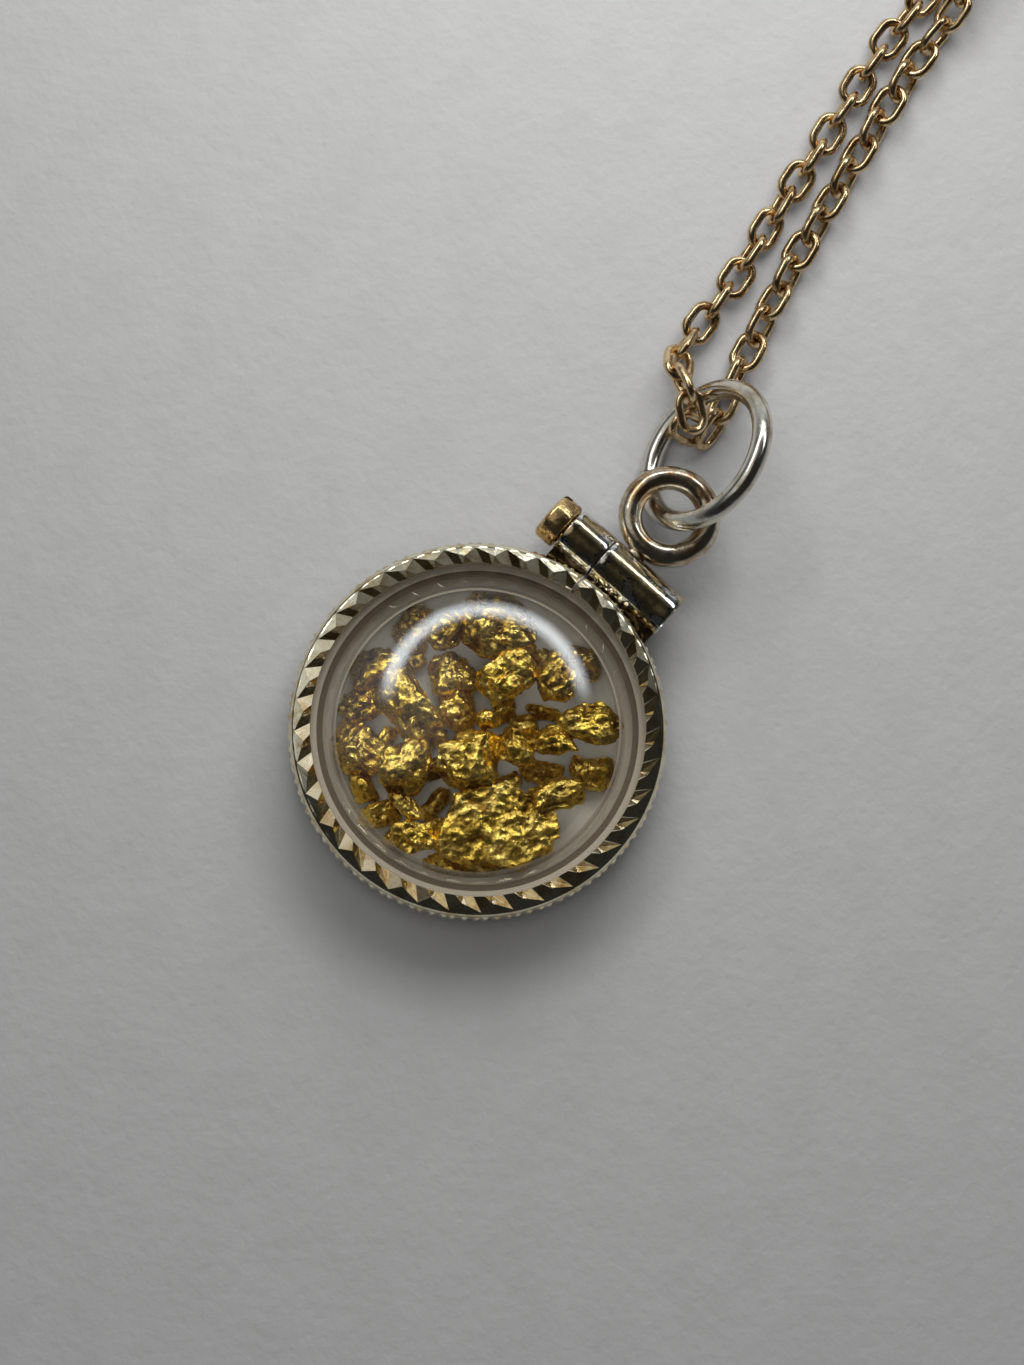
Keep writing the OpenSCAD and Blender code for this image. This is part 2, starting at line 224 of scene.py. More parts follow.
@dataclass(frozen=True)
class WornMetal:
    """A worked metal with patches of tarnish, fine scratches and soft dents.

    Attributes:
        slot: The record's slot.
        clean: Colour of the rubbed metal.
        tarnish: Colour of the tarnished patches.
        patch: Size of the patches in millimetres.
        spread: Share of the surface that is tarnished, 0 to 1.
        rough: Roughness of clean and of tarnished metal.
        dent: Depth of the soft dents in millimetres.
        scratch: Depth of the scratches in millimetres.
        edged: How strongly the tarnished patches are outlined, 0 to 1.
        stretch: Direction that the scratches run across, as a scale for each axis.
    """

    slot: Slot
    clean: Colour
    tarnish: Colour
    patch: float = 1.2
    spread: float = 0.4
    rough: tuple[float, float] = (0.16, 0.34)
    dent: float = 0.01
    scratch: float = 0.004
    edged: float = 0.0
    stretch: Colour = (1.0, 6.0, 1.0)

    def material(self) -> bpy.types.Material:
        """Builds the material."""
        g = Graph(self.slot.value + "_finish")
        patches = g.noise(self.patch, 5.0, 0.62)
        start = 0.62 - self.spread * 0.4
        share = g.between(patches, start, start + 0.16 * (1 - 0.9 * self.edged), 0.0, 1.0)
        grime = g.noise(self.patch * 0.22, 3.0, 0.6)
        speckled = g.blend(g.between(grime, 0.5, 0.75, 0.0, 0.5), self.clean, self.tarnish)
        colour = g.blend(share, speckled, self.tarnish)
        if self.edged:
            rim = g.add("ShaderNodeMath", {0: patches, 1: start, 2: 0.015}, operation="COMPARE").outputs[0]
            line = g.add("ShaderNodeMath", {0: rim, 1: self.edged}, operation="MULTIPLY").outputs[0]
            colour = g.blend(line, colour, (0.05, 0.04, 0.03))
        rough = g.between(g.noise(self.patch * 0.5, 4.0), 0.35, 0.7, *self.rough)
        dents = g.bump(g.noise(self.patch * 0.6, 2.0), self.dent)
        marks = g.noise(0.35, 2.0, 0.5, self.stretch)
        normal = g.bump(marks, self.scratch, dents)
        shader = g.add(
            "ShaderNodeBsdfPrincipled",
            {"Base Color": colour, "Metallic": 1.0, "Roughness": rough, "Normal": normal},
        )
        return g.finish(shader)


@dataclass(frozen=True)
class RawGold:
    """Native gold, brown and dull in its pits, with painted shade darkening it in its folds so that its
    knobs stay bright.
    """

    slot: Slot = Slot.RAW_GOLD
    bright: Colour = (1.0, 0.67, 0.105)
    # brown of the dull pits, and the colour of the painted shade in the folds
    pit_brown_and_shade: Colour = (0.30, 0.15, 0.018)
    grain: float = 0.26

    def material(self) -> bpy.types.Material:
        """Builds the material."""
        g = Graph(self.slot.value + "_finish")
        # painted shade: how far down in the folds each point lies, read from the mesh
        fold_shade = g.add("ShaderNodeAttribute", attribute_name="fold_shade").outputs["Fac"]
        pits = g.noise(self.grain, 3.0, 0.55)
        tint = g.blend(g.between(g.noise(1.6, 3.0), 0.4, 0.62, 0.0, 1.0), self.bright, (1.0, 0.72, 0.19))
        dusty = g.blend(g.between(pits, 0.36, 0.46, 0.8, 0.0), tint, self.pit_brown_and_shade)
        # painted shade: the folds are darkened towards the brown
        colour = g.blend(g.between(fold_shade, 0.38, 0.74, 0.0, 0.96), dusty, self.pit_brown_and_shade)
        rough = g.between(pits, 0.35, 0.6, 0.44, 0.27)
        coarse = g.bump(g.noise(0.8, 3.0, 0.5), 0.16)
        crumple = g.add(
            "ShaderNodeTexVoronoi", {"Vector": g.coords, "Scale": 1 / (0.5 * MM)}, feature="F1"
        ).outputs["Distance"]
        folded = g.bump(crumple, 0.09, coarse)
        normal = g.bump(pits, 0.02, folded)
        shader = g.add(
            "ShaderNodeBsdfPrincipled",
            {"Base Color": colour, "Metallic": 1.0, "Roughness": rough, "Normal": normal},
        )
        return g.finish(shader)


@dataclass(frozen=True)
class Stone:
    """A milky grain of quartz."""

    slot: Slot = Slot.QUARTZ
    pale: Colour = (0.80, 0.76, 0.68)
    stain: Colour = (0.50, 0.42, 0.30)

    def material(self) -> bpy.types.Material:
        """Builds the material."""
        g = Graph(self.slot.value + "_finish")
        colour = g.blend(g.between(g.noise(0.3), 0.4, 0.7, 0.0, 1.0), self.pale, self.stain)
        normal = g.bump(g.noise(0.12), 0.02)
        values = {"Base Color": colour, "Roughness": 0.35, "Normal": normal}
        return g.finish(g.add("ShaderNodeBsdfPrincipled", values))


@dataclass(frozen=True)
class Glass:
    """Clear glass that lets light through to what is under it.

    Attributes:
        name: The material's name.
        tint: Colour of the light that passes.
        gloss: Roughness of its reflections.
        index: Index of refraction, which sets how much it reflects.
        haze: Share of the surface that looks cloudy.
        haze_colour: Colour of the cloudy share.
    """

    name: str
    tint: Colour = (1.0, 0.998, 0.99)
    gloss: float = 0.02
    index: float = 1.5
    haze: float = 0.0
    haze_colour: Colour = (0.30, 0.27, 0.22)

    def material(self) -> bpy.types.Material:
        """Builds the material."""
        g = Graph(self.name)
        smears = g.bump(g.noise(2.5, 3.0), 0.004)
        leaving = g.add("ShaderNodeNewGeometry").outputs["Backfacing"]
        index = g.between(leaving, 0.0, 1.0, self.index, 1 / self.index)
        fresnel = g.add("ShaderNodeFresnel", {"IOR": index, "Normal": smears})
        clear = g.add("ShaderNodeBsdfTransparent", {"Color": (*self.tint, 1.0)})
        rough = g.between(g.noise(1.4, 4.0), 0.4, 0.75, self.gloss, self.gloss + 0.05)
        shine = g.add("ShaderNodeBsdfGlossy", {"Roughness": rough, "Normal": smears})
        cloud = g.add("ShaderNodeBsdfDiffuse", {"Color": (*self.haze_colour, 1.0)})
        inside = g.add("ShaderNodeMixShader", {"Fac": self.haze})
        g.tree.links.new(clear.outputs[0], inside.inputs[1])
        g.tree.links.new(cloud.outputs[0], inside.inputs[2])
        mix = g.add("ShaderNodeMixShader", {"Fac": fresnel.outputs[0]})
        g.tree.links.new(inside.outputs[0], mix.inputs[1])
        g.tree.links.new(shine.outputs[0], mix.inputs[2])
        return g.finish(mix)


@dataclass(frozen=True)
class GrainedSheet:
    """The pale grained sheet that the locket lies on."""

    name: str = "grained_sheet"
    pale: Colour = (0.222, 0.220, 0.216)
    shade: Colour = (0.214, 0.212, 0.208)

    def material(self) -> bpy.types.Material:
        """Builds the material."""
        g = Graph(self.name)
        cloudy = g.between(g.noise(3.0, 3.0), 0.4, 0.65, 0.0, 1.0)
        colour = g.blend(cloudy, self.pale, self.shade)
        cells = g.add(
            "ShaderNodeTexVoronoi", {"Vector": g.coords, "Scale": 1 / (0.6 * MM)}, feature="SMOOTH_F1"
        ).outputs["Distance"]
        grain = g.bump(cells, 0.03)
        normal = g.bump(g.noise(0.3, 3.0), 0.025, grain)
        values = {"Base Color": colour, "Roughness": 0.58, "Normal": normal}
        return g.finish(g.add("ShaderNodeBsdfPrincipled", values))


# ---------------------------------------------------------------- mesh tools


def grid_faces(rows: int, cols: int, wrap_rows: bool, wrap_cols: bool) -> Faces:
    """Quads of a grid whose point (i, j) has number i * cols + j.

    Args:
        rows: Rows of points.
        cols: Points in a row.
        wrap_rows: Whether the last row joins the first.
        wrap_cols: Whether the last column joins the first.

    Returns:
        The faces.
    """
    last_row = rows if wrap_rows else rows - 1
    last_col = cols if wrap_cols else cols - 1
    return [
        (
            i * cols + j,
            i * cols + (j + 1) % cols,
            (i + 1) % rows * cols + (j + 1) % cols,
            (i + 1) % rows * cols + j,
        )
        for i in range(last_row)
        for j in range(last_col)
    ]


def join_parts(parts: Sequence[tuple[np.ndarray, Faces]]) -> tuple[np.ndarray, Faces]:
    """Puts several shapes together as one.

    Args:
        parts: Points and faces of each shape.

    Returns:
        Points and faces of them all.
    """
    points, faces, count = [], [], 0
    for part_points, part_faces in parts:
        points.append(np.asarray(part_points, float))
        faces += [tuple(k + count for k in face) for face in part_faces]
        count += len(part_points)
    return np.vstack(points), faces


def revolve(
    profile: Sequence[tuple[float, float]], segments: int, closed: bool = True
) -> tuple[np.ndarray, Faces]:
    """Turns a profile of (radius, height) about Z.

    Args:
        profile: Its points in order.
        segments: Steps in the full turn.
        closed: Whether the profile is a loop. An open one starts and ends on the axis.

    Returns:
        Points and faces.
    """
    turn = np.linspace(0, 2 * math.pi, segments, endpoint=False)
    p = np.asarray(profile, float)
    across, along = np.outer(p[:, 0], np.cos(turn)), np.outer(p[:, 0], np.sin(turn))
    height = np.outer(p[:, 1], np.ones(segments))
    points = np.stack([across, along, height], axis=-1).reshape(-1, 3)
    return points, grid_faces(len(p), segments, closed, True)


def sweep(
    path: np.ndarray, radius: float | np.ndarray, sides: int, closed: bool = False
) -> tuple[np.ndarray, Faces]:
    """Sweeps a round section along a path.

    Args:
        path: Its points.
        radius: The section's radius, or one for each point.
        sides: Points round the section.
        closed: Whether the path is a loop.

    Returns:
        Points and faces.
    """
    path = np.asarray(path, float)
    n = len(path)
    radii = np.broadcast_to(np.asarray(radius, float), (n,))
    if closed:
        along = np.roll(path, -1, 0) - np.roll(path, 1, 0)
    else:
        along = np.gradient(path, axis=0)
    along /= np.linalg.norm(along, axis=1)[:, None]
    side = np.cross(along[0], (0.0, 0.0, 1.0))
    if np.linalg.norm(side) < 0.1:
        side = np.cross(along[0], (0.0, 1.0, 0.0))
    sides_list = []
    for tangent in along:
        side = side - tangent * np.dot(side, tangent)
        side = side / np.linalg.norm(side)
        sides_list.append(side)
    across = np.array(sides_list)
    over = np.cross(along, across)
    a = 2 * math.pi * np.arange(sides) / sides
    ring = across[:, None] * np.cos(a)[None, :, None] + over[:, None] * np.sin(a)[None, :, None]
    points = (path[:, None] + ring * radii[:, None, None]).reshape(-1, 3)
    faces = grid_faces(n, sides, closed, True)
    if not closed:
        faces += [tuple(range(sides)), tuple((n - 1) * sides + k for k in range(sides))[::-1]]
    return points, faces


def turned(points: np.ndarray, *turns: tuple[float, str], at: Sequence[float] = (0, 0, 0)) -> np.ndarray:
    """Turns points about the axes in order, then moves them.

    Args:
        points: The points.
        *turns: Pairs of degrees and axis name.
        at: Where the origin goes.

    Returns:
        The moved points.
    """
    for degrees, axis in turns:
        points = points @ np.array(Matrix.Rotation(math.radians(degrees), 3, axis)).T
    return points + np.asarray(at, float)


def piece_from(
    name: str,
    shape: tuple[np.ndarray, Faces],
    finishes: Sequence[bpy.types.Material],
    crease: float = 38.0,
    face_slots: Sequence[int] | None = None,
) -> bpy.types.Object:
    """Makes a closed piece with its faces outwards.

    Args:
        name: The piece's name.
        shape: Its points in millimetres and its faces.
        finishes: Its materials.
        crease: Angle in degrees above which an edge stays sharp.
        face_slots: The material's number for each face.

    Returns:
        The piece.
    """
    points, faces = shape
    mesh = bpy.data.meshes.new(name)
    mesh.from_pydata((np.asarray(points) * MM).tolist(), [], faces)
    for finish in finishes:
        mesh.materials.append(finish)
    if face_slots is not None:
        mesh.polygons.foreach_set("material_index", list(face_slots))
    tidy_mesh(mesh, crease)
    piece = bpy.data.objects.new(name, mesh)
    bpy.context.scene.collection.objects.link(piece)
    return piece


def tidy_mesh(mesh: bpy.types.Mesh, crease: float) -> None:
    """Merges doubles, turns the faces outwards and sets which edges stay sharp.

    Args:
        mesh: The mesh.
        crease: Angle in degrees above which an edge stays sharp.
    """
    work = bmesh.new()
    work.from_mesh(mesh)
    bmesh.ops.remove_doubles(work, verts=work.verts, dist=2e-7)
    bmesh.ops.dissolve_degenerate(work, edges=work.edges, dist=1e-8)
    bmesh.ops.recalc_face_normals(work, faces=work.faces)
    work.to_mesh(mesh)
    work.free()
    mesh.polygons.foreach_set("use_smooth", [True] * len(mesh.polygons))
    mesh.set_sharp_from_angle(angle=math.radians(crease))


def cut_from(piece: bpy.types.Object, cutter: bpy.types.Object, crease: float = 30.0) -> None:
    """Takes the cutter's shape out of the piece and removes the cutter.

    Args:
        piece: The piece.
        cutter: The cutter.
        crease: Angle in degrees above which an edge stays sharp.
    """
    combine(piece, cutter, "DIFFERENCE")
    tidy_mesh(piece.data, crease)


def combine(
    piece: bpy.types.Object, other: bpy.types.Object, how: str, keep_finishes: bool = False
) -> None:
    """Joins or cuts one piece with another, which is removed.

    Args:
        piece: The piece that stays.
        other: The piece that is used up.
        how: "UNION" or "DIFFERENCE".
        keep_finishes: Whether the other piece's finishes come along.
    """
    change = piece.modifiers.new("combine", "BOOLEAN")
    change.operation, change.solver, change.object = how, "EXACT", other
    if keep_finishes:
        change.material_mode = "TRANSFER"
    bake_modifiers(piece)
    bpy.data.objects.remove(other)


def bake_modifiers(piece: bpy.types.Object) -> None:
    """Replaces the piece's mesh by its evaluated one and drops the modifiers."""
    graph = bpy.context.evaluated_depsgraph_get()
    mesh = bpy.data.meshes.new_from_object(piece.evaluated_get(graph), depsgraph=graph)
    piece.modifiers.clear()
    piece.data = mesh


def block(size: Sequence[float], at: Sequence[float]) -> tuple[np.ndarray, Faces]:
    """A box of a size with its centre at a point."""
    corners = np.array([(x, y, z) for x in (-0.5, 0.5) for y in (-0.5, 0.5) for z in (-0.5, 0.5)])
    faces = [(0, 1, 3, 2), (4, 6, 7, 5), (0, 4, 5, 1), (2, 3, 7, 6), (0, 2, 6, 4), (1, 5, 7, 3)]
    return corners * np.asarray(size, float) + np.asarray(at, float), faces


def show(piece: bpy.types.Object, body: str, slot: Slot, *nodes: str) -> bpy.types.Object:
    """Puts a piece on its body in place of CAD nodes.

    Args:
        piece: The piece.
        body: The body that it rides on.
        slot: Its material slot; not used.
        *nodes: The CAD nodes that it stands for.

    Returns:
        The piece.
    """
    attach(piece, body)
    if nodes:
        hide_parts(*nodes)
    LOG.info("%s: %d faces on %s", piece.name, len(piece.data.polygons), body)
    return piece


class NodeTree:
    """Lays out one Geometry Nodes tree with named inputs."""

    def __init__(self, name: str, inputs: dict[str, tuple[str, Any]]) -> None:
        """Starts a tree.

        Args:
            name: The tree's name.
            inputs: For each input its socket type and its default.
        """
        self.tree = bpy.data.node_groups.new(name, "GeometryNodeTree")
        face = self.tree.interface
        face.new_socket("Geometry", in_out="INPUT", socket_type="NodeSocketGeometry")
        face.new_socket("Geometry", in_out="OUTPUT", socket_type="NodeSocketGeometry")
        for label, (kind, default) in inputs.items():
            socket = face.new_socket(label, in_out="INPUT", socket_type="NodeSocket" + kind)
            if default is not None:
                socket.default_value = default
        self.given = self.tree.nodes.new("NodeGroupInput").outputs
        self.end = self.tree.nodes.new("NodeGroupOutput")

    def add(self, kind: str, inputs: dict[Any, Any] | None = None, **settings: Any) -> bpy.types.Node:
        """Adds a node.

        Args:
            kind: The node's type.
            inputs: Values or sockets for its inputs, by name or number.
            **settings: Properties of the node.

        Returns:
            The node.
        """
        node = self.tree.nodes.new(kind)
        for key, value in settings.items():
            setattr(node, key, value)
        for key, value in (inputs or {}).items():
            if isinstance(value, bpy.types.NodeSocket):
                self.tree.links.new(value, node.inputs[key])
            else:
                node.inputs[key].default_value = value
        return node

    def sum(self, kind: str, a: Any, b: Any) -> bpy.types.NodeSocket:
        """Joins two numbers with a math node and returns its result."""
        return self.add("ShaderNodeMath", {0: a, 1: b}, operation=kind).outputs[0]

    def close(self, instances: bpy.types.NodeSocket, weld: bool = False) -> None:
        """Ends the tree: realizes the instances, welds them if asked and sets the material.

        Args:
            instances: The geometry to end with.
            weld: Whether points that meet are merged.
        """
        real = self.add("GeometryNodeRealizeInstances", {"Geometry": instances}).outputs[0]
        if weld:
            real = self.add("GeometryNodeMergeByDistance", {"Geometry": real, "Distance": 2e-6}).outputs[0]
        dressed = self.add("GeometryNodeSetMaterial", {"Geometry": real, "Material": self.given["Finish"]})
        self.tree.links.new(dressed.outputs[0], self.end.inputs[0])

    def grow(self, source: bpy.types.Object, values: dict[str, Any], crease: float) -> bpy.types.Object:
        """Runs the tree on an object and keeps the result as its plain mesh.

        Args:
            source: The object, which keeps its name.
            values: Values for the named inputs.
            crease: Angle in degrees above which an edge stays sharp.

        Returns:
            The object, without its modifier.
        """
        change = source.modifiers.new("grow", "NODES")
        change.node_group = self.tree
        for item in self.tree.interface.items_tree:
            if item.in_out == "INPUT" and item.name in values:
                change[item.identifier] = values[item.name]
        bake_modifiers(source)
        tidy_mesh(source.data, crease)
        return source


# ---------------------------------------------------------------- bezel ring


@dataclass
class BezelRing:
    """The split ring with its diamond-cut front band, smooth shoulder and milled side.

    The corners of one cut are (degrees round the ring, radius, height). The shield runs from the high
    corner along the outer edge to the hub, and a groove that deepens inwards parts it from the next one.
    """

    height: float = 4.3
    base: float = 0.7
    cuts: int = 36
    fine: int = 24
    mills: int = 96
    mill_depth: float = 0.14
    high: tuple[float, float, float] = (0.0, 8.8, 4.24)
    outer: tuple[float, float, float] = (2.5, 9.62, 4.14)
    hub: tuple[float, float, float] = (6.1, 9.17, 4.32)
    brow: tuple[float, float] = (3.9, 8.8)
    groove: tuple[float, float, float] = (6.8, 8.8, 3.88)
    split_x: float = -1.2
    split_width: float = 0.08

    @staticmethod
    def spot(degrees: float, radius: float, z: float) -> np.ndarray:
        """The point at an angle round the ring, a radius and a height."""
        turn = math.radians(degrees)
        return np.array([radius * math.cos(turn), radius * math.sin(turn), z])

    def corners(self) -> list[np.ndarray]:
        """The cut's corners.

        Returns:
            High corner, outer corner, hub, brow, groove, next high corner and next outer corner.
        """
        step = 360 / self.cuts
        high, outer, hub = self.spot(*self.high), self.spot(*self.outer), self.spot(*self.hub)
        normal = np.cross(outer - high, hub - high)
        brow = self.spot(*self.brow, 0.0)
        brow[2] = high[2] - np.dot(normal[:2], brow[:2] - high[:2]) / normal[2]
        after = [self.spot(c[0] + step, c[1], c[2]) for c in (self.high, self.outer)]
        return [high, outer, hub, brow, self.spot(*self.groove), *after]

    def section(self) -> list[tuple[float, float, float]]:
        """The ring's section after the band, as (radius, height, share of the milling)."""
        b, t = self.base, self.height
        return [
            (9.655, t - 0.18, 0.0), (9.70, t - 0.205, 0.0), (9.75, t - 0.235, 0.0), (9.79, t - 0.29, 0.0),
            (9.82, t - 0.36, 0.0), (9.84, t - 0.44, 0.0), (9.85, t - 0.54, 0.0), (9.86, t - 0.62, 0.0),
            (9.92, t - 0.67, 0.35), (9.97, t - 0.73, 0.85), (10.0, t - 0.82, 1.0), (10.0, t - 1.6, 1.0),
            (10.0, b + 1.1, 1.0), (10.0, b + 0.62, 1.0), (9.97, b + 0.5, 0.7), (9.90, b + 0.4, 0.0),
            (9.88, b + 0.2, 0.0), (9.8, b + 0.06, 0.0), (9.66, b, 0.0), (9.1, b, 0.0), (8.72, b, 0.0),
            (8.65, b + 0.06, 0.0), (8.65, b + 0.40, 0.0), (8.7, b + 0.45, 0.0), (9.25, b + 0.45, 0.0),
            (9.25, t - 0.75, 0.0), (8.82, t - 0.75, 0.0), (8.79, t - 0.72, 0.0),
        ]

    def sector(self) -> tuple[np.ndarray, Faces]:
        """One cut of the band with the section behind it, a closed strip of the ring when repeated."""
        step = 360 / self.cuts
        high, outer, hub, brow, groove, next_high, next_outer = self.corners()
        points: list[np.ndarray] = []

        def put(*row: np.ndarray) -> list[int]:
            """Adds points and returns their numbers."""
            points.extend(row)
            return list(range(len(points) - len(row), len(points)))

        share = np.linspace(0, 1, self.fine + 1)
        marks = [0.0, self.brow[0] / step, self.groove[0] / step, 1.0]
        stops = np.array([high, brow, groove, next_high])
        rim = np.stack([np.interp(share, marks, stops[:, axis]) for axis in range(3)], axis=1)
        lip = put(*rim)
        edge = put(*[outer + (next_outer - outer) * k for k in share])
        middle = put(hub)[0]
        cut = int(round(marks[2] * self.fine))
        faces: Faces = [(middle, lip[k + 1], lip[k]) for k in range(cut)]
        faces += [(edge[-1], lip[k + 1], lip[k]) for k in range(cut, self.fine)]
        faces += [(middle, edge[k], edge[k + 1]) for k in range(self.fine)]
        faces += [(middle, lip[0], edge[0]), (middle, edge[-1], lip[cut])]
        above = edge
        for radius, z, milled in self.section():
            row = []
            for k in share * step:
                wave = 0.5 - 0.5 * math.cos(self.mills * math.radians(k + self.outer[0]))
                row.append(self.spot(k + self.outer[0], radius - self.mill_depth * milled * wave**0.8, z))
            below = put(*row)
            faces += [(above[k], below[k], below[k + 1], above[k + 1]) for k in range(self.fine)]
            above = below
        faces += [(above[k], lip[k], lip[k + 1], above[k + 1]) for k in range(self.fine)]
        return np.array(points), faces

    def tree(self) -> NodeTree:
        """The tree that sets the cuts round the ring."""
        tree = NodeTree("cuts_round_a_ring", {"Cuts": ("Int", 36), "Finish": ("Material", None)})
        count = tree.given["Cuts"]
        spots = tree.add("GeometryNodePoints", {"Count": count})
        number = tree.add("GeometryNodeInputIndex").outputs[0]
        turn = tree.sum("MULTIPLY", tree.sum("DIVIDE", number, count), 2 * math.pi)
        spin = tree.add("ShaderNodeCombineXYZ", {"Z": turn}).outputs[0]
        spun = tree.add("FunctionNodeEulerToRotation", {0: spin}).outputs[0]
        copies = tree.add(
            "GeometryNodeInstanceOnPoints",
            {"Points": spots.outputs[0], "Instance": tree.given["Geometry"], "Rotation": spun},
        )
        tree.close(copies.outputs[0], weld=True)
        return tree

    def build(self, gold: bpy.types.Material) -> None:
        """Builds the ring and puts it in place of its node.

        Args:
            gold: Its finish.
        """
        points, faces = self.sector()
        mesh = bpy.data.meshes.new("bezel_ring_looks")
        mesh.from_pydata((points * MM).tolist(), [], faces)
        ring = bpy.data.objects.new("bezel_ring_looks", mesh)
        bpy.context.scene.collection.objects.link(ring)
        self.tree().grow(ring, {"Cuts": self.cuts, "Finish": gold}, 35.0)
        gap = block((self.split_width, 4.0, 6.0), (self.split_x, 9.4, (self.base + self.height) / 2))
        cut_from(ring, piece_from("ring_split_cutter", gap, []), 35.0)
        for face in ring.data.polygons:
            middle = face.center / MM
            if middle.z > self.groove[2] - 0.1 and math.hypot(middle.x, middle.y) < self.outer[1]:
                face.use_smooth = False
        show(ring, PENDANT, Slot.BEZEL, "bezel_ring")


# ---------------------------------------------------------------- crystals


@dataclass
class Crystals:
    """The domed front glass and the low back glass, ground flat."""

    flange: float = 9.17
    # outer radius of the ring of painted shade at the dome's foot
    shade: float = 8.47
    dome: float = 8.16
    cavity: float = 7.66
    flange_top: float = 3.47
    part: float = 2.25
    rise: float = 2.0
    wall: float = 0.5
    segments: int = 160
    floor: float = 0.6
    back: float = 8.5
    flat: float = 6.9

    def arc(self, radius: float, foot: float, drop: float, steps: int) -> list[tuple[float, float]]:
        """Points of a dome from the axis to its foot.

        Args:
            radius: The sphere's radius.
            foot: Radius of the dome at its foot.
            drop: Height of the sphere's centre.
            steps: Points.

        Returns:
            (radius, height) pairs.
        """
        end = math.asin(foot / radius)
        return [(radius * math.sin(a), drop + radius * math.cos(a)) for a in np.linspace(0, end, steps)]

    def front_profile(self) -> list[tuple[float, float]]:
        """Section of the front crystal, from the axis outside to the axis inside."""
        sphere = (self.dome**2 + self.rise**2) / (2 * self.rise)
        drop = self.flange_top + self.rise - sphere
        outside = self.arc(sphere, self.dome - 0.12, drop, 40)
        foot = outside[-1]
        toe = [(foot[0] + 0.07, foot[1] - 0.035), (self.dome - 0.01, foot[1] - 0.08)]
        toe += [(self.dome, self.flange_top + 0.02), (self.dome + 0.03, self.flange_top)]
        rim = [(self.shade, self.flange_top)]
        rim += [(self.flange - 0.06, self.flange_top), (self.flange, self.flange_top - 0.06)]
        rim += [(self.flange, self.part + 0.03), (self.flange - 0.03, self.part)]
        inner = self.arc(sphere - self.wall, self.cavity - 0.34, drop, 34)
        top = inner[-1]
        bend = [
            (top[0] + 0.34 * math.sin(a), top[1] - 0.34 * (1 - math.cos(a)) - 0.12 * math.sin(a))
            for a in np.linspace(0.25, math.pi / 2, 8)
        ]
        wall = [(self.cavity, self.part + 0.05), (self.cavity + 0.05, self.part)]
        return outside + toe + rim + wall[::-1] + bend[::-1] + inner[::-1]

    def back_profile(self) -> list[tuple[float, float]]:
        """Section of the back crystal, from the axis under it to the axis on its floor."""
        slope = [(self.flat, 0.0), (self.flat + 0.25, 0.03), (self.back - 0.1, 0.54), (self.back, 0.62)]
        rim = [(self.back, 1.2), (self.flange, 1.2), (self.flange, 2.22), (7.86, 2.22), (7.86, 1.3)]
        bowl = [
            (7.36 + 0.5 * math.cos(a), 1.1 - 0.5 * math.sin(a)) for a in np.linspace(0.0, math.pi / 2, 8)
        ]
        return [(0.0, 0.0)] + slope + rim + bowl + [(0.0, self.floor)]

    def build(self, finishes: Sequence[bpy.types.Material], under: bpy.types.Material) -> None:
        """Builds both crystals in place of their nodes.

        Args:
            finishes: The clear glass, its flange, and a dark glass at the dome's foot that paints a ring of
                shade there.
            under: The back crystal's glass.
        """
        front = revolve(self.front_profile(), self.segments, closed=False)
        middle = np.array([np.linalg.norm(front[0][list(f)][:, :2].mean(0)) for f in front[1]])
        high = np.array([front[0][list(f)][:, 2].mean() for f in front[1]])
        rim = (middle > self.dome + 0.01) | ((middle > self.cavity - 0.3) & (high < self.flange_top - 0.25))
        # painted shade: the flange's top next to the dome's foot gets the dark finish
        foot = (middle > self.dome - 0.02) & (middle < self.shade) & (high > self.flange_top - 0.05)
        numbers = np.where(foot, 2, rim.astype(int)).tolist()
        piece = piece_from("front_crystal_looks", front, finishes, 30.0, numbers)
        show(piece, PENDANT, Slot.CRYSTAL, "front_crystal")
        back = revolve(self.back_profile(), self.segments, closed=False)
        piece = piece_from("back_crystal_looks", back, [under], 30.0)
        show(piece, PENDANT, Slot.CRYSTAL, "back_crystal")


# ---------------------------------------------------------------- raw gold


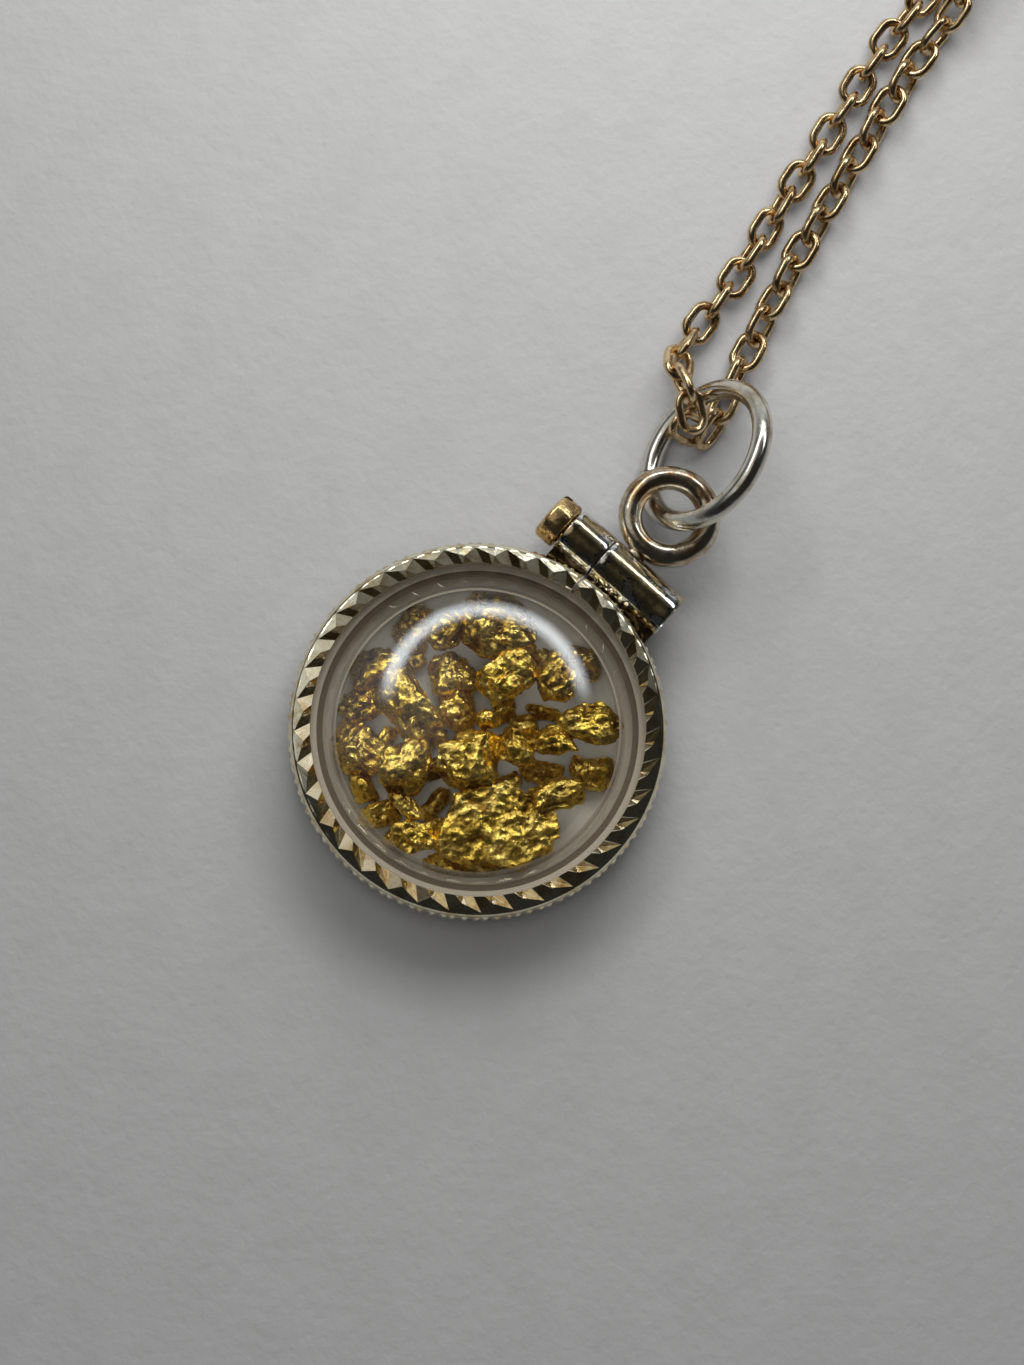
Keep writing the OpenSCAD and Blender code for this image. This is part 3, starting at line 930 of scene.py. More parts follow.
class Relief:
    """Seeded lattice noise in three dimensions."""

    @staticmethod
    def lattice(cell: np.ndarray, seed: int) -> np.ndarray:
        """Fixed values from -1 to 1 for lattice cells.

        Args:
            cell: Whole-number cells of shape (n, 3).
            seed: The seed.

        Returns:
            One value for each cell.
        """
        c = cell.astype(np.int64).astype(np.uint32)
        h = sum(c[:, axis] * np.uint32(prime) for axis, prime in enumerate(LATTICE_PRIMES[:3]))
        h = h + np.uint32((seed * LATTICE_PRIMES[3]) % 2**32)
        for shift, factor in zip((15, 13), LATTICE_PRIMES[2:]):
            h = (h ^ (h >> np.uint32(shift))) * np.uint32(factor)
        h = h ^ (h >> np.uint32(16))
        return h.astype(float) / 2**31 - 1

    @classmethod
    def noise(cls, p: np.ndarray, seed: int) -> np.ndarray:
        """Smooth noise.

        Args:
            p: Points of shape (n, 3).
            seed: The seed.

        Returns:
            One value for each point.
        """
        cell = np.floor(p)
        f = p - cell
        w = f**3 * (f * (6 * f - 15) + 10)
        total = np.zeros(len(p))
        for corner in np.ndindex(2, 2, 2):
            share = np.prod(np.where(np.array(corner) == 1, w, 1 - w), axis=1)
            total += share * cls.lattice(cell + np.array(corner), seed)
        return total

    @classmethod
    def layers(
        cls, p: np.ndarray, seed: int, count: int, gain: float = 0.5, ridged: bool = False
    ) -> np.ndarray:
        """Sum of octaves of noise.

        Args:
            p: Points.
            seed: The seed.
            count: Octaves.
            gain: Share of each octave against the one before.
            ridged: Whether each octave is folded into ridges.

        Returns:
            Values of about -1 to 1.
        """
        total, height, full = np.zeros(len(p)), 1.0, 0.0
        for k in range(count):
            value = cls.noise(p * 2.03**k + 17.3 * k, seed + 31 * k)
            total += height * ((1 - 2.4 * np.abs(value)) if ridged else value)
            full += height
            height *= gain
        return total / full


@dataclass(frozen=True)
class Lump:
    """One lump of the CAD pile: its middle, its half sizes and its turn about Z."""

    middle: tuple[float, float, float]
    half: tuple[float, float, float]
    turn: float

    @staticmethod
    def read(node: bpy.types.Object) -> "list[Lump]":
        """Reads the lumps of a CAD node from its mesh.

        Args:
            node: The node's object.

        Returns:
            Its lumps, by their place across the pile.
        """
        work = bmesh.new()
        work.from_mesh(node.data)
        bmesh.ops.remove_doubles(work, verts=work.verts, dist=1e-7)
        left, lumps = set(work.verts), []
        while left:
            group, heap = [], [left.pop()]
            while heap:
                v = heap.pop()
                group.append(v)
                for e in v.link_edges:
                    other = e.other_vert(v)
                    if other in left:
                        left.remove(other)
                        heap.append(other)
            p = np.array([v.co for v in group]) / MM
            flat = p[:, :2] - p[:, :2].mean(0)
            _, axes = np.linalg.eigh(flat.T @ flat)
            along = axes[:, 1] if axes[0, 1] >= 0 else -axes[:, 1]
            local = np.c_[p[:, :2] @ along, p[:, :2] @ np.array([-along[1], along[0]]), p[:, 2]]
            low, high = local.min(0), local.max(0)
            mid = (low + high) / 2
            place = mid[0] * along + mid[1] * np.array([-along[1], along[0]])
            half = tuple((high - low) / 2)
            lumps.append(Lump((place[0], place[1], mid[2]), half, math.atan2(along[1], along[0])))
        work.free()
        return sorted(lumps, key=lambda lump: (round(lump.middle[0], 3), round(lump.middle[1], 3)))


@dataclass
class NuggetPile:
    """The loose raw gold, each nugget rough and folded, in the places of the CAD lumps."""

    swell: float = 1.5
    swell_up: float = 1.28
    floor: float = 0.62
    detail: int = 5
    small_detail: int = 4

    def ball(self, level: int) -> tuple[np.ndarray, Faces]:
        """A divided icosahedron.

        Args:
            level: How often it is divided.

        Returns:
            Its unit points and its faces.
        """
        work = bmesh.new()
        bmesh.ops.create_icosphere(work, subdivisions=level, radius=1.0)
        points = np.array([v.co for v in work.verts])
        faces = [tuple(v.index for v in f.verts) for f in work.faces]
        work.free()
        return points / np.linalg.norm(points, axis=1)[:, None], faces

    def carve(
        self,
        ball: np.ndarray,
        lump: Lump,
        seed: int,
        cuts: Sequence[tuple[float, float]] = (),
        flat: bool = False,
    ) -> tuple[np.ndarray, np.ndarray]:
        """Shapes a ball into one nugget.

        Args:
            ball: Unit points.
            lump: The CAD lump that it stands for.
            seed: The nugget's seed.
            cuts: Side cuts as (degrees, offset), or none to draw them from the seed.
            flat: Whether it is a hammered-looking flake.

        Returns:
            Its points in millimetres, and how far down in the folds each lies, 0 to 1, the share of painted
            shade there.
        """
        draw = np.random.default_rng(seed)
        power = draw.uniform(2.4, 4.0)
        base = ball / (np.abs(ball) ** power).sum(1)[:, None] ** (1 / power)
        planes = [(math.radians(a), 0.0, o) for a, o in cuts]
        if not cuts:
            planes = [
                (draw.uniform(0, 2 * math.pi), draw.uniform(-0.5, 0.8), draw.uniform(0.72, 1.0))
                for _ in range(draw.integers(4, 8))
            ]
        for around, up, offset in planes:
            n = np.array([math.cos(around) * math.cos(up), math.sin(around) * math.cos(up), math.sin(up)])
            over = np.maximum(base @ n - offset, 0.0)
            base = base - 0.93 * over[:, None] * n
        lobes = Relief.layers(base * 1.25 + seed, seed, 2)
        base = base * (1 + (0.10 if flat else 0.24) * lobes)[:, None]
        half = np.array(lump.half) * np.array([self.swell, self.swell, self.swell_up])
        low, high = base.min(0), base.max(0)
        q = (base - (low + high) / 2) / ((high - low) / 2) * half
        out = q / half**2
        out /= np.linalg.norm(out, axis=1)[:, None] + 1e-9
        reach = min(half[0], half[1])
        folds = Relief.layers(q / (0.95 if flat else 0.8) + 5.1 * seed, seed + 7, 4, 0.55, ridged=True)
        knobs = Relief.layers(q / 0.36 + 3.3 * seed, seed + 11, 3, 0.6)
        bends = Relief.noise(q / 1.5 + 2.7 * seed, seed + 13)
        depth = min(0.2, 0.2 * reach)
        height = depth * (1.05 * folds + 0.42 * knobs + 0.9 * bends)
        q = q + out * height[:, None]
        # painted shade mask: high where the surface lies down in the folds
        fold_shade_share = np.clip(0.5 - 0.55 * (0.95 * folds + 0.45 * knobs), 0.0, 1.0)
        low, high = q.min(0), q.max(0)
        q = (q - (low + high) / 2) / ((high - low) / 2) * half
        q = turned(q, (math.degrees(lump.turn), "Z"), at=lump.middle)
        q[:, 2] = np.maximum(q[:, 2], self.floor + 0.02 * (q[:, 2] < self.floor))
        return q, fold_shade_share

    def piece(
        self,
        name: str,
        lumps: Sequence[Lump],
        seed: int,
        finish: bpy.types.Material,
        level: int,
        **how: Any,
    ) -> bpy.types.Object:
        """Makes one piece of one or more nuggets.

        Args:
            name: The piece's name.
            lumps: Its CAD lumps.
            seed: Seed of the first nugget.
            finish: Its material.
            level: How finely it is divided.
            **how: Passed to carve.

        Returns:
            The piece.
        """
        ball, faces = self.ball(level)
        carved = [self.carve(ball, lump, seed + k, **how) for k, lump in enumerate(lumps)]
        shape = join_parts([(points, faces) for points, _ in carved])
        piece = piece_from(name, shape, [finish], 60.0)
        # the mask goes on the mesh for the material's painted shade in the folds
        fold_shade = piece.data.attributes.new("fold_shade", "FLOAT", "POINT")
        if len(piece.data.vertices) == sum(len(points) for points, _ in carved):
            fold_shade.data.foreach_set("value", np.concatenate([fold_shade_share for _, fold_shade_share in carved]).astype(np.float32))
        return piece

    def build(
        self, nodes: dict[str, bpy.types.Object], gold: bpy.types.Material, stone: bpy.types.Material
    ) -> None:
        """Builds every nugget in place of its node.

        Args:
            nodes: The CAD nodes.
            gold: Raw gold.
            stone: Quartz.
        """
        for name in sorted(n for n in nodes if n.startswith("nugget_")):
            number = int(name.split("_")[1])
            piece = self.piece(name + "_looks", Lump.read(nodes[name]), 100 + number, gold, self.detail)
            show(piece, PENDANT, Slot.RAW_GOLD, name)
        small = Lump.read(nodes["small_nuggets"])
        piece = self.piece("small_nuggets_looks", small, 300, gold, self.small_detail)
        show(piece, PENDANT, Slot.RAW_GOLD, "small_nuggets")
        sides = ((-55, 0.80), (-5, 0.86), (38, 0.70), (95, 0.78), (150, 0.74), (-120, 0.62), (-165, 0.84))
        flake = Lump.read(nodes["gold_flake"])
        piece = self.piece("gold_flake_looks", flake, 401, gold, self.detail + 1, cuts=sides, flat=True)
        show(piece, PENDANT, Slot.RAW_GOLD, "gold_flake")
        grain = Lump.read(nodes["quartz_grain"])
        piece = self.piece("quartz_grain_looks", grain, 402, stone, self.small_detail - 1)
        show(piece, PENDANT, Slot.QUARTZ, "quartz_grain")


# ---------------------------------------------------------------- knuckles, screw and rings


@dataclass
class Knuckles:
    """The two hinge tubes soldered to the ends of the split ring."""

    y: float = 11.3
    z: float = 2.8
    radius: float = 1.35
    bore: float = 0.95
    ring: float = 10.0

    def tube(self, start: float, end: float) -> tuple[np.ndarray, Faces]:
        """A tube along X with rounded rims and a countersunk far end.

        Args:
            start: Where it starts.
            end: Where it ends.

        Returns:
            Its points and faces.
        """
        r, b, c = self.radius, self.bore, 0.06
        half = (end - start) / 2
        profile = [(b, -half + c), (b + c, -half), (r - c, -half), (r - 0.02, -half + 0.02), (r, -half + c)]
        profile += [(r, -half + 0.3), (r, 0.0), (r, half - 0.3)]
        profile += [(r, half - c), (r - 0.02, half - 0.02), (r - c, half), (r - 0.15, half)]
        profile += [(r - 0.18, half - 0.03), (r - 0.2, half - 0.45), (b, half - 0.65)]
        points, faces = revolve(profile, 72)
        return turned(points, (90, "Y"), at=((start + end) / 2, self.y, self.z)), faces

    def foot(self, start: float, end: float) -> tuple[np.ndarray, Faces]:
        """The solder that flows from a tube down to the ring.

        Args:
            start: Where it starts along X.
            end: Where it ends.

        Returns:
            Its points and faces.
        """
        n, steps, inset = 20, 9, 0.06
        rows = []
        for x in np.linspace(start + inset, end - inset, steps):
            rim = math.sqrt(self.ring**2 - x * x) - 0.06
            wide = 0.86 + 0.12 * math.sin(3.1 * x)
            for k in range(n):
                a = 2 * math.pi * k / n
                near = 0.5 - 0.5 * math.cos(a)
                y = rim + (self.y - self.radius * 0.62 - rim) * near
                pinch = 1 - 0.34 * math.sin(math.pi * near)
                rows.append((x, y, self.z + wide * pinch * math.sin(a) * 0.8))
        ends = [tuple(range(n)), tuple((steps - 1) * n + k for k in range(n))[::-1]]
        return np.array(rows), grid_faces(steps, n, False, True) + ends

    def knuckle(
        self, name: str, start: float, end: float, finish: bpy.types.Material, solder: bpy.types.Material
    ) -> None:
        """Makes one knuckle, its tube joined to its foot, in place of its node.

        Args:
            name: The node's name.
            start: Where its tube starts along X.
            end: Where its tube ends.
            finish: The tube's finish.
            solder: The foot's finish, dark with painted shade.
        """
        body = piece_from(name + "_looks", self.tube(start, end), [finish], 30.0)
        # painted shade: the foot gets the dark solder finish that stands in for the shade under the tube
        foot = piece_from(name + "_foot", self.foot(start, end), [solder], 50.0)
        combine(body, foot, "UNION", keep_finishes=True)
        tidy_mesh(body.data, 32.0)
        show(body, PENDANT, Slot.KNUCKLE, name)

    def build(self, finish: bpy.types.Material, solder: bpy.types.Material) -> None:
        """Builds both knuckles of a finish, with feet of solder whose dark finish paints the shade under
        the tubes.
        """
        self.knuckle("plain_knuckle", -3.55, -1.22, finish, solder)
        self.knuckle("threaded_knuckle", -1.18, 3.55, finish, solder)


@dataclass
class ClampScrew:
    """The slotted screw, battered on its head, with a real thread on its shank."""

    head_x: float = -4.93
    head_length: float = 1.3
    head: float = 1.35
    shank: float = 5.2
    core: float = 0.78
    thread: float = 0.88
    pitch: float = 0.36
    y: float = 11.3
    z: float = 2.8

    def head_piece(self, finish: bpy.types.Material) -> bpy.types.Object:
        """The battered head with its driver slot, standing along Z.

        Args:
            finish: Its finish.

        Returns:
            The head.
        """
        r, h = self.head, self.head_length
        domed = [(0.0, 0.0), (0.6, 0.008), (1.0, 0.03), (1.16, 0.06), (1.26, 0.11), (1.32, 0.19)]
        body = [(r, 0.3), (r, h - 0.2), (r - 0.03, h - 0.12), (r - 0.12, h - 0.04)]
        neck = [(r - 0.22, h), (0.84, h), (0.0, h)]
        points, faces = revolve(domed + body + neck, 96, closed=False)
        ragged = Relief.layers(points / 0.55 + 3, 5, 3)
        radial = points * np.array([1, 1, 0.15])
        radial /= np.linalg.norm(radial, axis=1)[:, None] + 1e-9
        points = points - radial * (0.045 * np.abs(ragged))[:, None]
        head = piece_from("clamp_screw_looks", (points, faces), [finish], 40.0)
        slot = turned(block((0.5, 3.4, 1.1), (0, 0, 0))[0], (24, "Z"))
        cutter = piece_from("screw_slot_cutter", (slot, block((1, 1, 1), (0, 0, 0))[1]), [finish])
        cut_from(head, cutter, 40.0)
        return head

    def rod_piece(self, finish: bpy.types.Material) -> bpy.types.Object:
        """The threaded shank, standing along Z above the head.

        Args:
            finish: Its finish.

        Returns:
            The shank.
        """
        h = self.head_length
        rows, cols = 190, 36
        shank = []
        for z in np.linspace(h - 0.15, h + self.shank, rows):
            fade = min(1.0, (h + self.shank - z) / 0.3, max(0.0, (z - h - 0.2) / 0.25))
            for k in range(cols):
                phase = (z / self.pitch - k / cols) % 1.0
                ridge = 1 - abs(2 * phase - 1)
                tip = min(1.0, (h + self.shank - z) / 0.22 + 0.6)
                radius = (self.core + (self.thread - self.core) * ridge * max(fade, 0.0)) * tip
                a = 2 * math.pi * k / cols
                shank.append((radius * math.cos(a), radius * math.sin(a), z))
        ends = [tuple(range(cols)), tuple((rows - 1) * cols + k for k in range(cols))[::-1]]
        faces = grid_faces(rows, cols, False, True) + ends
        return piece_from("screw_rod", (np.array(shank), faces), [finish])

    def build(self, finish: bpy.types.Material) -> None:
        """Builds the screw along X in place of its node.

        Args:
            finish: Its finish.
        """
        head = self.head_piece(finish)
        combine(head, self.rod_piece(finish), "UNION")
        place = Matrix.Translation(Vector((self.head_x, self.y, self.z)) * MM)
        head.data.transform(place @ Matrix.Rotation(math.radians(90), 4, "Y"))
        tidy_mesh(head.data, 35.0)
        show(head, "screw", Slot.SCREW, "clamp_screw")


@dataclass
class WireRings:
    """The soldered bail ring and the jump ring that leans on it."""

    bail_y: float = 15.43
    bail_z: float = 2.8
    bail_radius: float = 2.1
    bail_wire: float = 0.65
    jump_at: tuple[float, float, float] = (-0.75, 19.08, 3.5376)
    jump_radius: float = 3.9
    jump_wire: float = 0.55
    lean: float = 50.0
    turn: float = 18.0

    def ring(self, radius: float, wire: float, flaw: float, seed: int) -> tuple[np.ndarray, Faces]:
        """A ring of round wire with faint hammer and plier flats.

        Args:
            radius: Radius to the middle of the wire.
            wire: The wire's radius.
            flaw: Depth of the flats.
            seed: The seed.

        Returns:
            Its points and faces.
        """
        steps, sides = 144, 32
        a = np.linspace(0, 2 * math.pi, steps, endpoint=False)
        path = np.c_[radius * np.cos(a), radius * np.sin(a), np.zeros(steps)]
        points, faces = sweep(path, wire, sides, closed=True)
        middle = np.repeat(path, sides, axis=0)
        out = (points - middle) / wire
        worn = Relief.layers(points / 0.9 + seed, seed, 2)
        return points - out * (flaw * np.abs(worn))[:, None], faces

    def solder(self) -> tuple[np.ndarray, Faces]:
        """The collar of solder at the foot of the bail ring."""
        stops = ((12.45, 0.72, 0.62), (12.6, 0.62, 0.52), (12.74, 0.54, 0.46), (12.86, 0.4, 0.36))
        sides, last = 24, len(stops) - 1
        collar = []
        for y, wide, tall in stops:
            for a in np.linspace(0, 2 * math.pi, sides, endpoint=False):
                collar.append((wide * math.cos(a), y - self.bail_y, tall * math.sin(a)))
        ends = [tuple(range(sides)), tuple(last * sides + k for k in range(sides))[::-1]]
        return np.array(collar), grid_faces(len(stops), sides, False, True) + ends

    def build(self, bail: bpy.types.Material, jump: bpy.types.Material) -> None:
        """Builds both rings and the bail's solder.

        Args:
            bail: The bail ring's finish.
            jump: The jump ring's finish.
        """
        points, faces = self.ring(self.bail_radius, self.bail_wire, 0.03, 3)
        collar, collar_faces = self.solder()
        spot = (0, self.bail_y, self.bail_z)
        blob = piece_from("bail_solder", (turned(collar, at=spot), collar_faces), [bail])
        ring = piece_from("bail_ring_looks", (turned(points, at=spot), faces), [bail])
        combine(ring, blob, "UNION")
        tidy_mesh(ring.data, 45.0)
        show(ring, PENDANT, Slot.BAIL, "bail_ring")
        points, faces = self.ring(self.jump_radius, self.jump_wire, 0.022, 9)
        ring = piece_from("jump_ring_looks", (points, faces), [jump])
        saw = block((1.6, 0.035, 1.6), (self.jump_radius, 0, 0))
        saw = (turned(saw[0], (205, "Z")), saw[1])
        cut_from(ring, piece_from("jump_ring_saw", saw, [jump]), 45.0)
        place = (
            Matrix.Translation(Vector(self.jump_at) * MM)
            @ Matrix.Rotation(math.radians(self.turn), 4, "Z")
            @ Matrix.Rotation(math.radians(-self.lean), 4, "Y")
        )
        ring.data.transform(place)
        show(ring, "jump", Slot.JUMP, "jump_ring")


# ---------------------------------------------------------------- chain and clasp


@dataclass
class CableChain:
    """The neck chain: a centre link in the jump ring and two strands, wound up out of the way."""

    link_length: float = 2.6
    link_width: float = 1.88
    wire: float = 0.49
    pitch: float = 1.6
    width: float = 1.8
    coil: tuple[float, float] = (4.1, 63.0)
    outer: float = 13.0
    turn_pitch: float = 1.95
    low: float = 0.93
    high: float = 2.85
    centre: tuple[float, float, float] = (-2.5, 20.0, 1.6)
    left_route: tuple[tuple[float, float, float], ...] = (
        (-2.9, 20.5, 2.9), (-3.7, 21.05, 3.1), (-4.6, 21.6, 2.7), (-5.3, 22.4, 1.9), (-5.7, 23.5, 1.1),
        (-5.85, 24.9, 0.93), (-5.95, 26.5, 0.93), (-6.1, 28.3, 0.93), (-6.45, 30, 0.93),
        (-6.75, 31.8, 0.93), (-7.05, 33.6, 0.93), (-7.3, 35.4, 0.93), (-7.6, 37.4, 0.93),
        (-7.95, 39.5, 0.93), (-8.3, 41.5, 0.93), (-8.6, 43.5, 0.93), (-8.75, 45.5, 0.93),
        (-8.8, 47.5, 0.93), (-8.85, 49.5, 0.93), (-8.9, 51.5, 0.93), (-8.9, 53.5, 0.93),
        (-8.9, 55.5, 0.93), (-8.9, 57.5, 0.93), (-8.9, 59.5, 0.93), (-8.9, 61.5, 0.93),
    )
    right_route: tuple[tuple[float, float, float], ...] = (
        (-1.6, 20.9, 0.93), (-1.75, 21.8, 0.93), (-2.1, 22.8, 0.93), (-2.5, 23.9, 0.93),
        (-2.8, 25.2, 0.93), (-3.2, 26.6, 0.93), (-3.6, 28.1, 0.93), (-4, 29.8, 0.93), (-4.4, 31.4, 0.93),
        (-4.7, 33.1, 0.93), (-5.05, 34.9, 0.93), (-5.4, 36.6, 0.93), (-5.7, 38.3, 0.93),
        (-6, 39.9, 0.93), (-6.3, 41.5, 0.93), (-6.55, 43.2, 0.93), (-6.75, 45, 0.93), (-6.9, 46.8, 1.1),
        (-7.2, 48.5, 1.7), (-7.8, 50.2, 2.4), (-8.4, 51.9, 2.8), (-8.8, 53.5, 2.85), (-8.9, 55, 2.85),
        (-8.9, 57, 2.85), (-8.9, 59, 2.85), (-8.9, 61, 2.85),
    )
    left_tail: tuple[tuple[float, float, float], ...] = (
        (-6, 2.9, 0.93), (-5.3, 3.4, 0.93), (-4.5, 3.65, 0.93), (-3.55, 3.7, 0.93),
    )
    right_tail: tuple[tuple[float, float, float], ...] = (
        (6, -4.2, 2.8), (4.6, -4.75, 2.5), (3.2, -4.9, 1.8), (1.9, -4.8, 1.15), (0.7, -4.6, 0.95),
        (-0.3, -4.4, 0.93),
    )

    def winding(self, turns: float, level: float) -> list[tuple[float, float, float]]:
        """Points of the coil, from its outside in.

        Args:
            turns: How many turns.
            level: Height of the chain's middle.

        Returns:
            The points, 24 for each turn.
        """
        x, y = self.coil
        steps = int(turns * 24)
        points = []
        for k in range(steps + 1):
            part = k / 24
            r = self.outer - self.turn_pitch * part
            a = 2 * math.pi * part
            points.append((x - r * math.cos(a), y + r * math.sin(a), level))
        return points

    def route(
        self,
        run: Sequence[tuple[float, float, float]],
        turns: float,
        level: float,
        tail: Sequence[tuple[float, float, float]],
    ) -> np.ndarray:
        """One strand's whole centreline, smoothed.

        Args:
            run: Points of the stretch before the coil.
            turns: Turns of the coil.
            level: Height of the coil's turns.
            tail: Points after the coil, from the coil's centre.

        Returns:
            Its points in millimetres.
        """
        x, y = self.coil
        knots = np.array(list(run) + self.winding(turns, level) + [(x + a, y + b, c) for a, b, c in tail])
        padded = np.vstack([2 * knots[0] - knots[1], knots, 2 * knots[-1] - knots[-2]])
        points = []
        for a, b, c, d in zip(padded[:-3], padded[1:-2], padded[2:-1], padded[3:]):
            for t in np.arange(6) / 6:
                square, cube = t**2 * (2 * a - 5 * b + 4 * c - d), t**3 * (3 * b - a - 3 * c + d)
                points.append(0.5 * (2 * b + t * (c - a) + square + cube))
        points.append(knots[-1])
        return np.array(points)

    def link_loop(self, tree: NodeTree, steps: int, sides: int) -> bpy.types.NodeSocket:
        """Nodes for one link standing along Z.

        Args:
            tree: The tree that they go in.
            steps: Steps in each bend.
            sides: Sides of the wire.

        Returns:
            The link's socket.
        """
        wire = tree.given["Wire"]
        wide = tree.sum("SUBTRACT", tree.given["Link width"], wire)
        long = tree.sum("SUBTRACT", tree.given["Link length"], wire)
        frame = tree.add("GeometryNodeCurvePrimitiveQuadrilateral", {"Width": wide, "Height": long})
        bend = tree.sum("MULTIPLY", wide, 0.499)
        corners = {"Curve": frame.outputs[0], "Radius": bend, "Count": steps}
        oval = tree.add("GeometryNodeFilletCurve", corners, mode="POLY")
        thick = {"Resolution": sides, "Radius": tree.sum("MULTIPLY", wire, 0.5)}
        section = tree.add("GeometryNodeCurvePrimitiveCircle", thick)
        swept = {"Curve": oval.outputs[0], "Profile Curve": section.outputs[0]}
        loop = tree.add("GeometryNodeCurveToMesh", swept)
        stood = {"Geometry": loop.outputs[0], "Rotation": (math.pi / 2, 0.0, 0.0)}
        return tree.add("GeometryNodeTransform", stood).outputs[0]

    def tree(self) -> NodeTree:
        """The tree that sets links along a line, each a quarter turn from the last."""
        tree = NodeTree(
            "links_along_a_line",
            {
                "Pitch": ("Float", 0.0016), "Link length": ("Float", 0.0025),
                "Link width": ("Float", 0.0018), "Wire": ("Float", 0.0004),
                "First roll": ("Float", 0.4), "Looseness": ("Float", 0.2),
                "Fine links": ("Int", 26), "Seed": ("Int", 1), "Finish": ("Material", None),
            },
        )
        line = tree.add("GeometryNodeMeshToCurve", {"Mesh": tree.given["Geometry"]})
        level = tree.add("GeometryNodeSetCurveNormal", {"Curve": line.outputs[0]}, mode="Z_UP")
        spaced = {"Curve": level.outputs[0], "Length": tree.given["Pitch"]}
        spots = tree.add("GeometryNodeCurveToPoints", spaced, mode="LENGTH")
        number = tree.add("GeometryNodeInputIndex").outputs[0]
        quarter = tree.sum("MULTIPLY", tree.sum("MODULO", number, 2.0), math.pi / 2)
        loose = tree.add(
            "FunctionNodeRandomValue", {"Seed": tree.given["Seed"], "ID": number}, data_type="FLOAT"
        )
        loose.inputs[2].default_value, loose.inputs[3].default_value = -1.0, 1.0
        sway = tree.sum("MULTIPLY", loose.outputs[1], tree.given["Looseness"])
        roll = tree.sum("ADD", tree.sum("ADD", quarter, sway), tree.given["First roll"])
        tilt = tree.add(
            "FunctionNodeRandomValue",
            {"Seed": tree.sum("ADD", tree.given["Seed"], 5.0), "ID": number},
            data_type="FLOAT",
        )
        tilt.inputs[2].default_value, tilt.inputs[3].default_value = -0.09, 0.09
        angles = tree.add("ShaderNodeCombineXYZ", {"X": tilt.outputs[1], "Z": roll}).outputs[0]
        own = tree.add("FunctionNodeEulerToRotation", {0: angles}).outputs[0]
        lying = {"Rotation": spots.outputs["Rotation"], "Rotate By": own}
        pose = tree.add("FunctionNodeRotateRotation", lying, rotation_space="LOCAL").outputs[0]
        first = {2: number, 3: tree.given["Fine links"]}
        near = tree.add("FunctionNodeCompare", first, data_type="INT", operation="LESS_THAN").outputs[0]
        far = tree.add("FunctionNodeBooleanMath", {0: near}, operation="NOT").outputs[0]
        both = tree.add("GeometryNodeJoinGeometry")
        for chosen, steps, sides in ((near, 7, 12), (far, 3, 6)):
            copies = tree.add(
                "GeometryNodeInstanceOnPoints",
                {
                    "Points": spots.outputs[0], "Selection": chosen,
                    "Instance": self.link_loop(tree, steps, sides), "Rotation": pose,
                },
            )
            tree.tree.links.new(copies.outputs[0], both.inputs[0])
        tree.close(both.outputs[0])
        return tree

    def strand(
        self, name: str, route: np.ndarray, roll: float, seed: int, gold: bpy.types.Material, tree: NodeTree
    ) -> bpy.types.Object:
        """One strand of links along a route.

        Args:
            name: The piece's name.
            route: Its centreline in millimetres.
            roll: Roll of its first link in degrees.
            seed: Seed of its looseness.
            gold: Its finish.
            tree: The tree that sets the links.

        Returns:
            The strand.
        """
        mesh = bpy.data.meshes.new(name)
        mesh.from_pydata((route * MM).tolist(), [(k, k + 1) for k in range(len(route) - 1)], [])
        strand = bpy.data.objects.new(name, mesh)
        bpy.context.scene.collection.objects.link(strand)
        values = {
            "Pitch": self.pitch * MM, "Link length": self.link_length * MM,
            "Link width": self.link_width * MM, "Wire": self.wire * MM, "First roll": math.radians(roll),
            "Looseness": 0.2, "Fine links": 26, "Seed": seed, "Finish": gold,
        }
        return tree.grow(strand, values, 40.0)

    def middle_link(self, gold: bpy.types.Material) -> bpy.types.Object:
        """The link that hangs in the jump ring.

        Args:
            gold: Its finish.

        Returns:
            The link.
        """
        bend = (self.link_width - self.wire) / 2
        straight = (self.link_length - self.link_width) / 2
        path = []
        for side, start in ((1, -90), (-1, 90)):
            for a in np.radians(np.linspace(start, start + 180, 15)):
                path.append((side * straight + bend * math.cos(a), bend * math.sin(a), 0.0))
        points, faces = sweep(np.array(path), self.wire / 2, 12, closed=True)
        points = turned(points, (20, "X"), (40, "Y"), (25, "Z"), at=self.centre)
        return piece_from("chain_centre_link_looks", (points, faces), [gold])

    def build(
        self,
        gold: bpy.types.Material,
        left_end: Sequence[bpy.types.Object],
        right_end: Sequence[bpy.types.Object],
    ) -> None:
        """Args:
            gold: The chain's finish.
            left_end: Pieces on the left strand's end; not used.
            right_end: Pieces on the right strand's end; not used.
        """
        middle = show(self.middle_link(gold), PENDANT, Slot.CHAIN, "chain_centre_link")
        tree = self.tree()
        left = self.route(self.left_route, 3.0, self.low, self.left_tail)
        right = self.route(self.right_route, 2.5, self.high, self.right_tail)
        strand = self.strand("chain_left_strand", left, 18.0, 4, gold, tree)
        show(strand, PENDANT, Slot.CHAIN, "chain_run_left", "chain_coil", "chain_tail_left")
        self.declare(strand, left)
        strand = self.strand("chain_right_strand", right, 60.0, 9, gold, tree)
        show(strand, PENDANT, Slot.CHAIN, "chain_run_right", "chain_tail_right")
        self.declare(strand, right)

    def declare(
        self, strand: bpy.types.Object, route: np.ndarray
    ) -> None:
        """Logs the length of a strand's route.

        Args:
            strand: The strand.
            route: Its centreline in millimetres.
        """
        length = float(np.linalg.norm(np.diff(route, axis=0), axis=1).sum()) * MM
        LOG.info("%s is %.1f mm long", strand.name, length / MM)


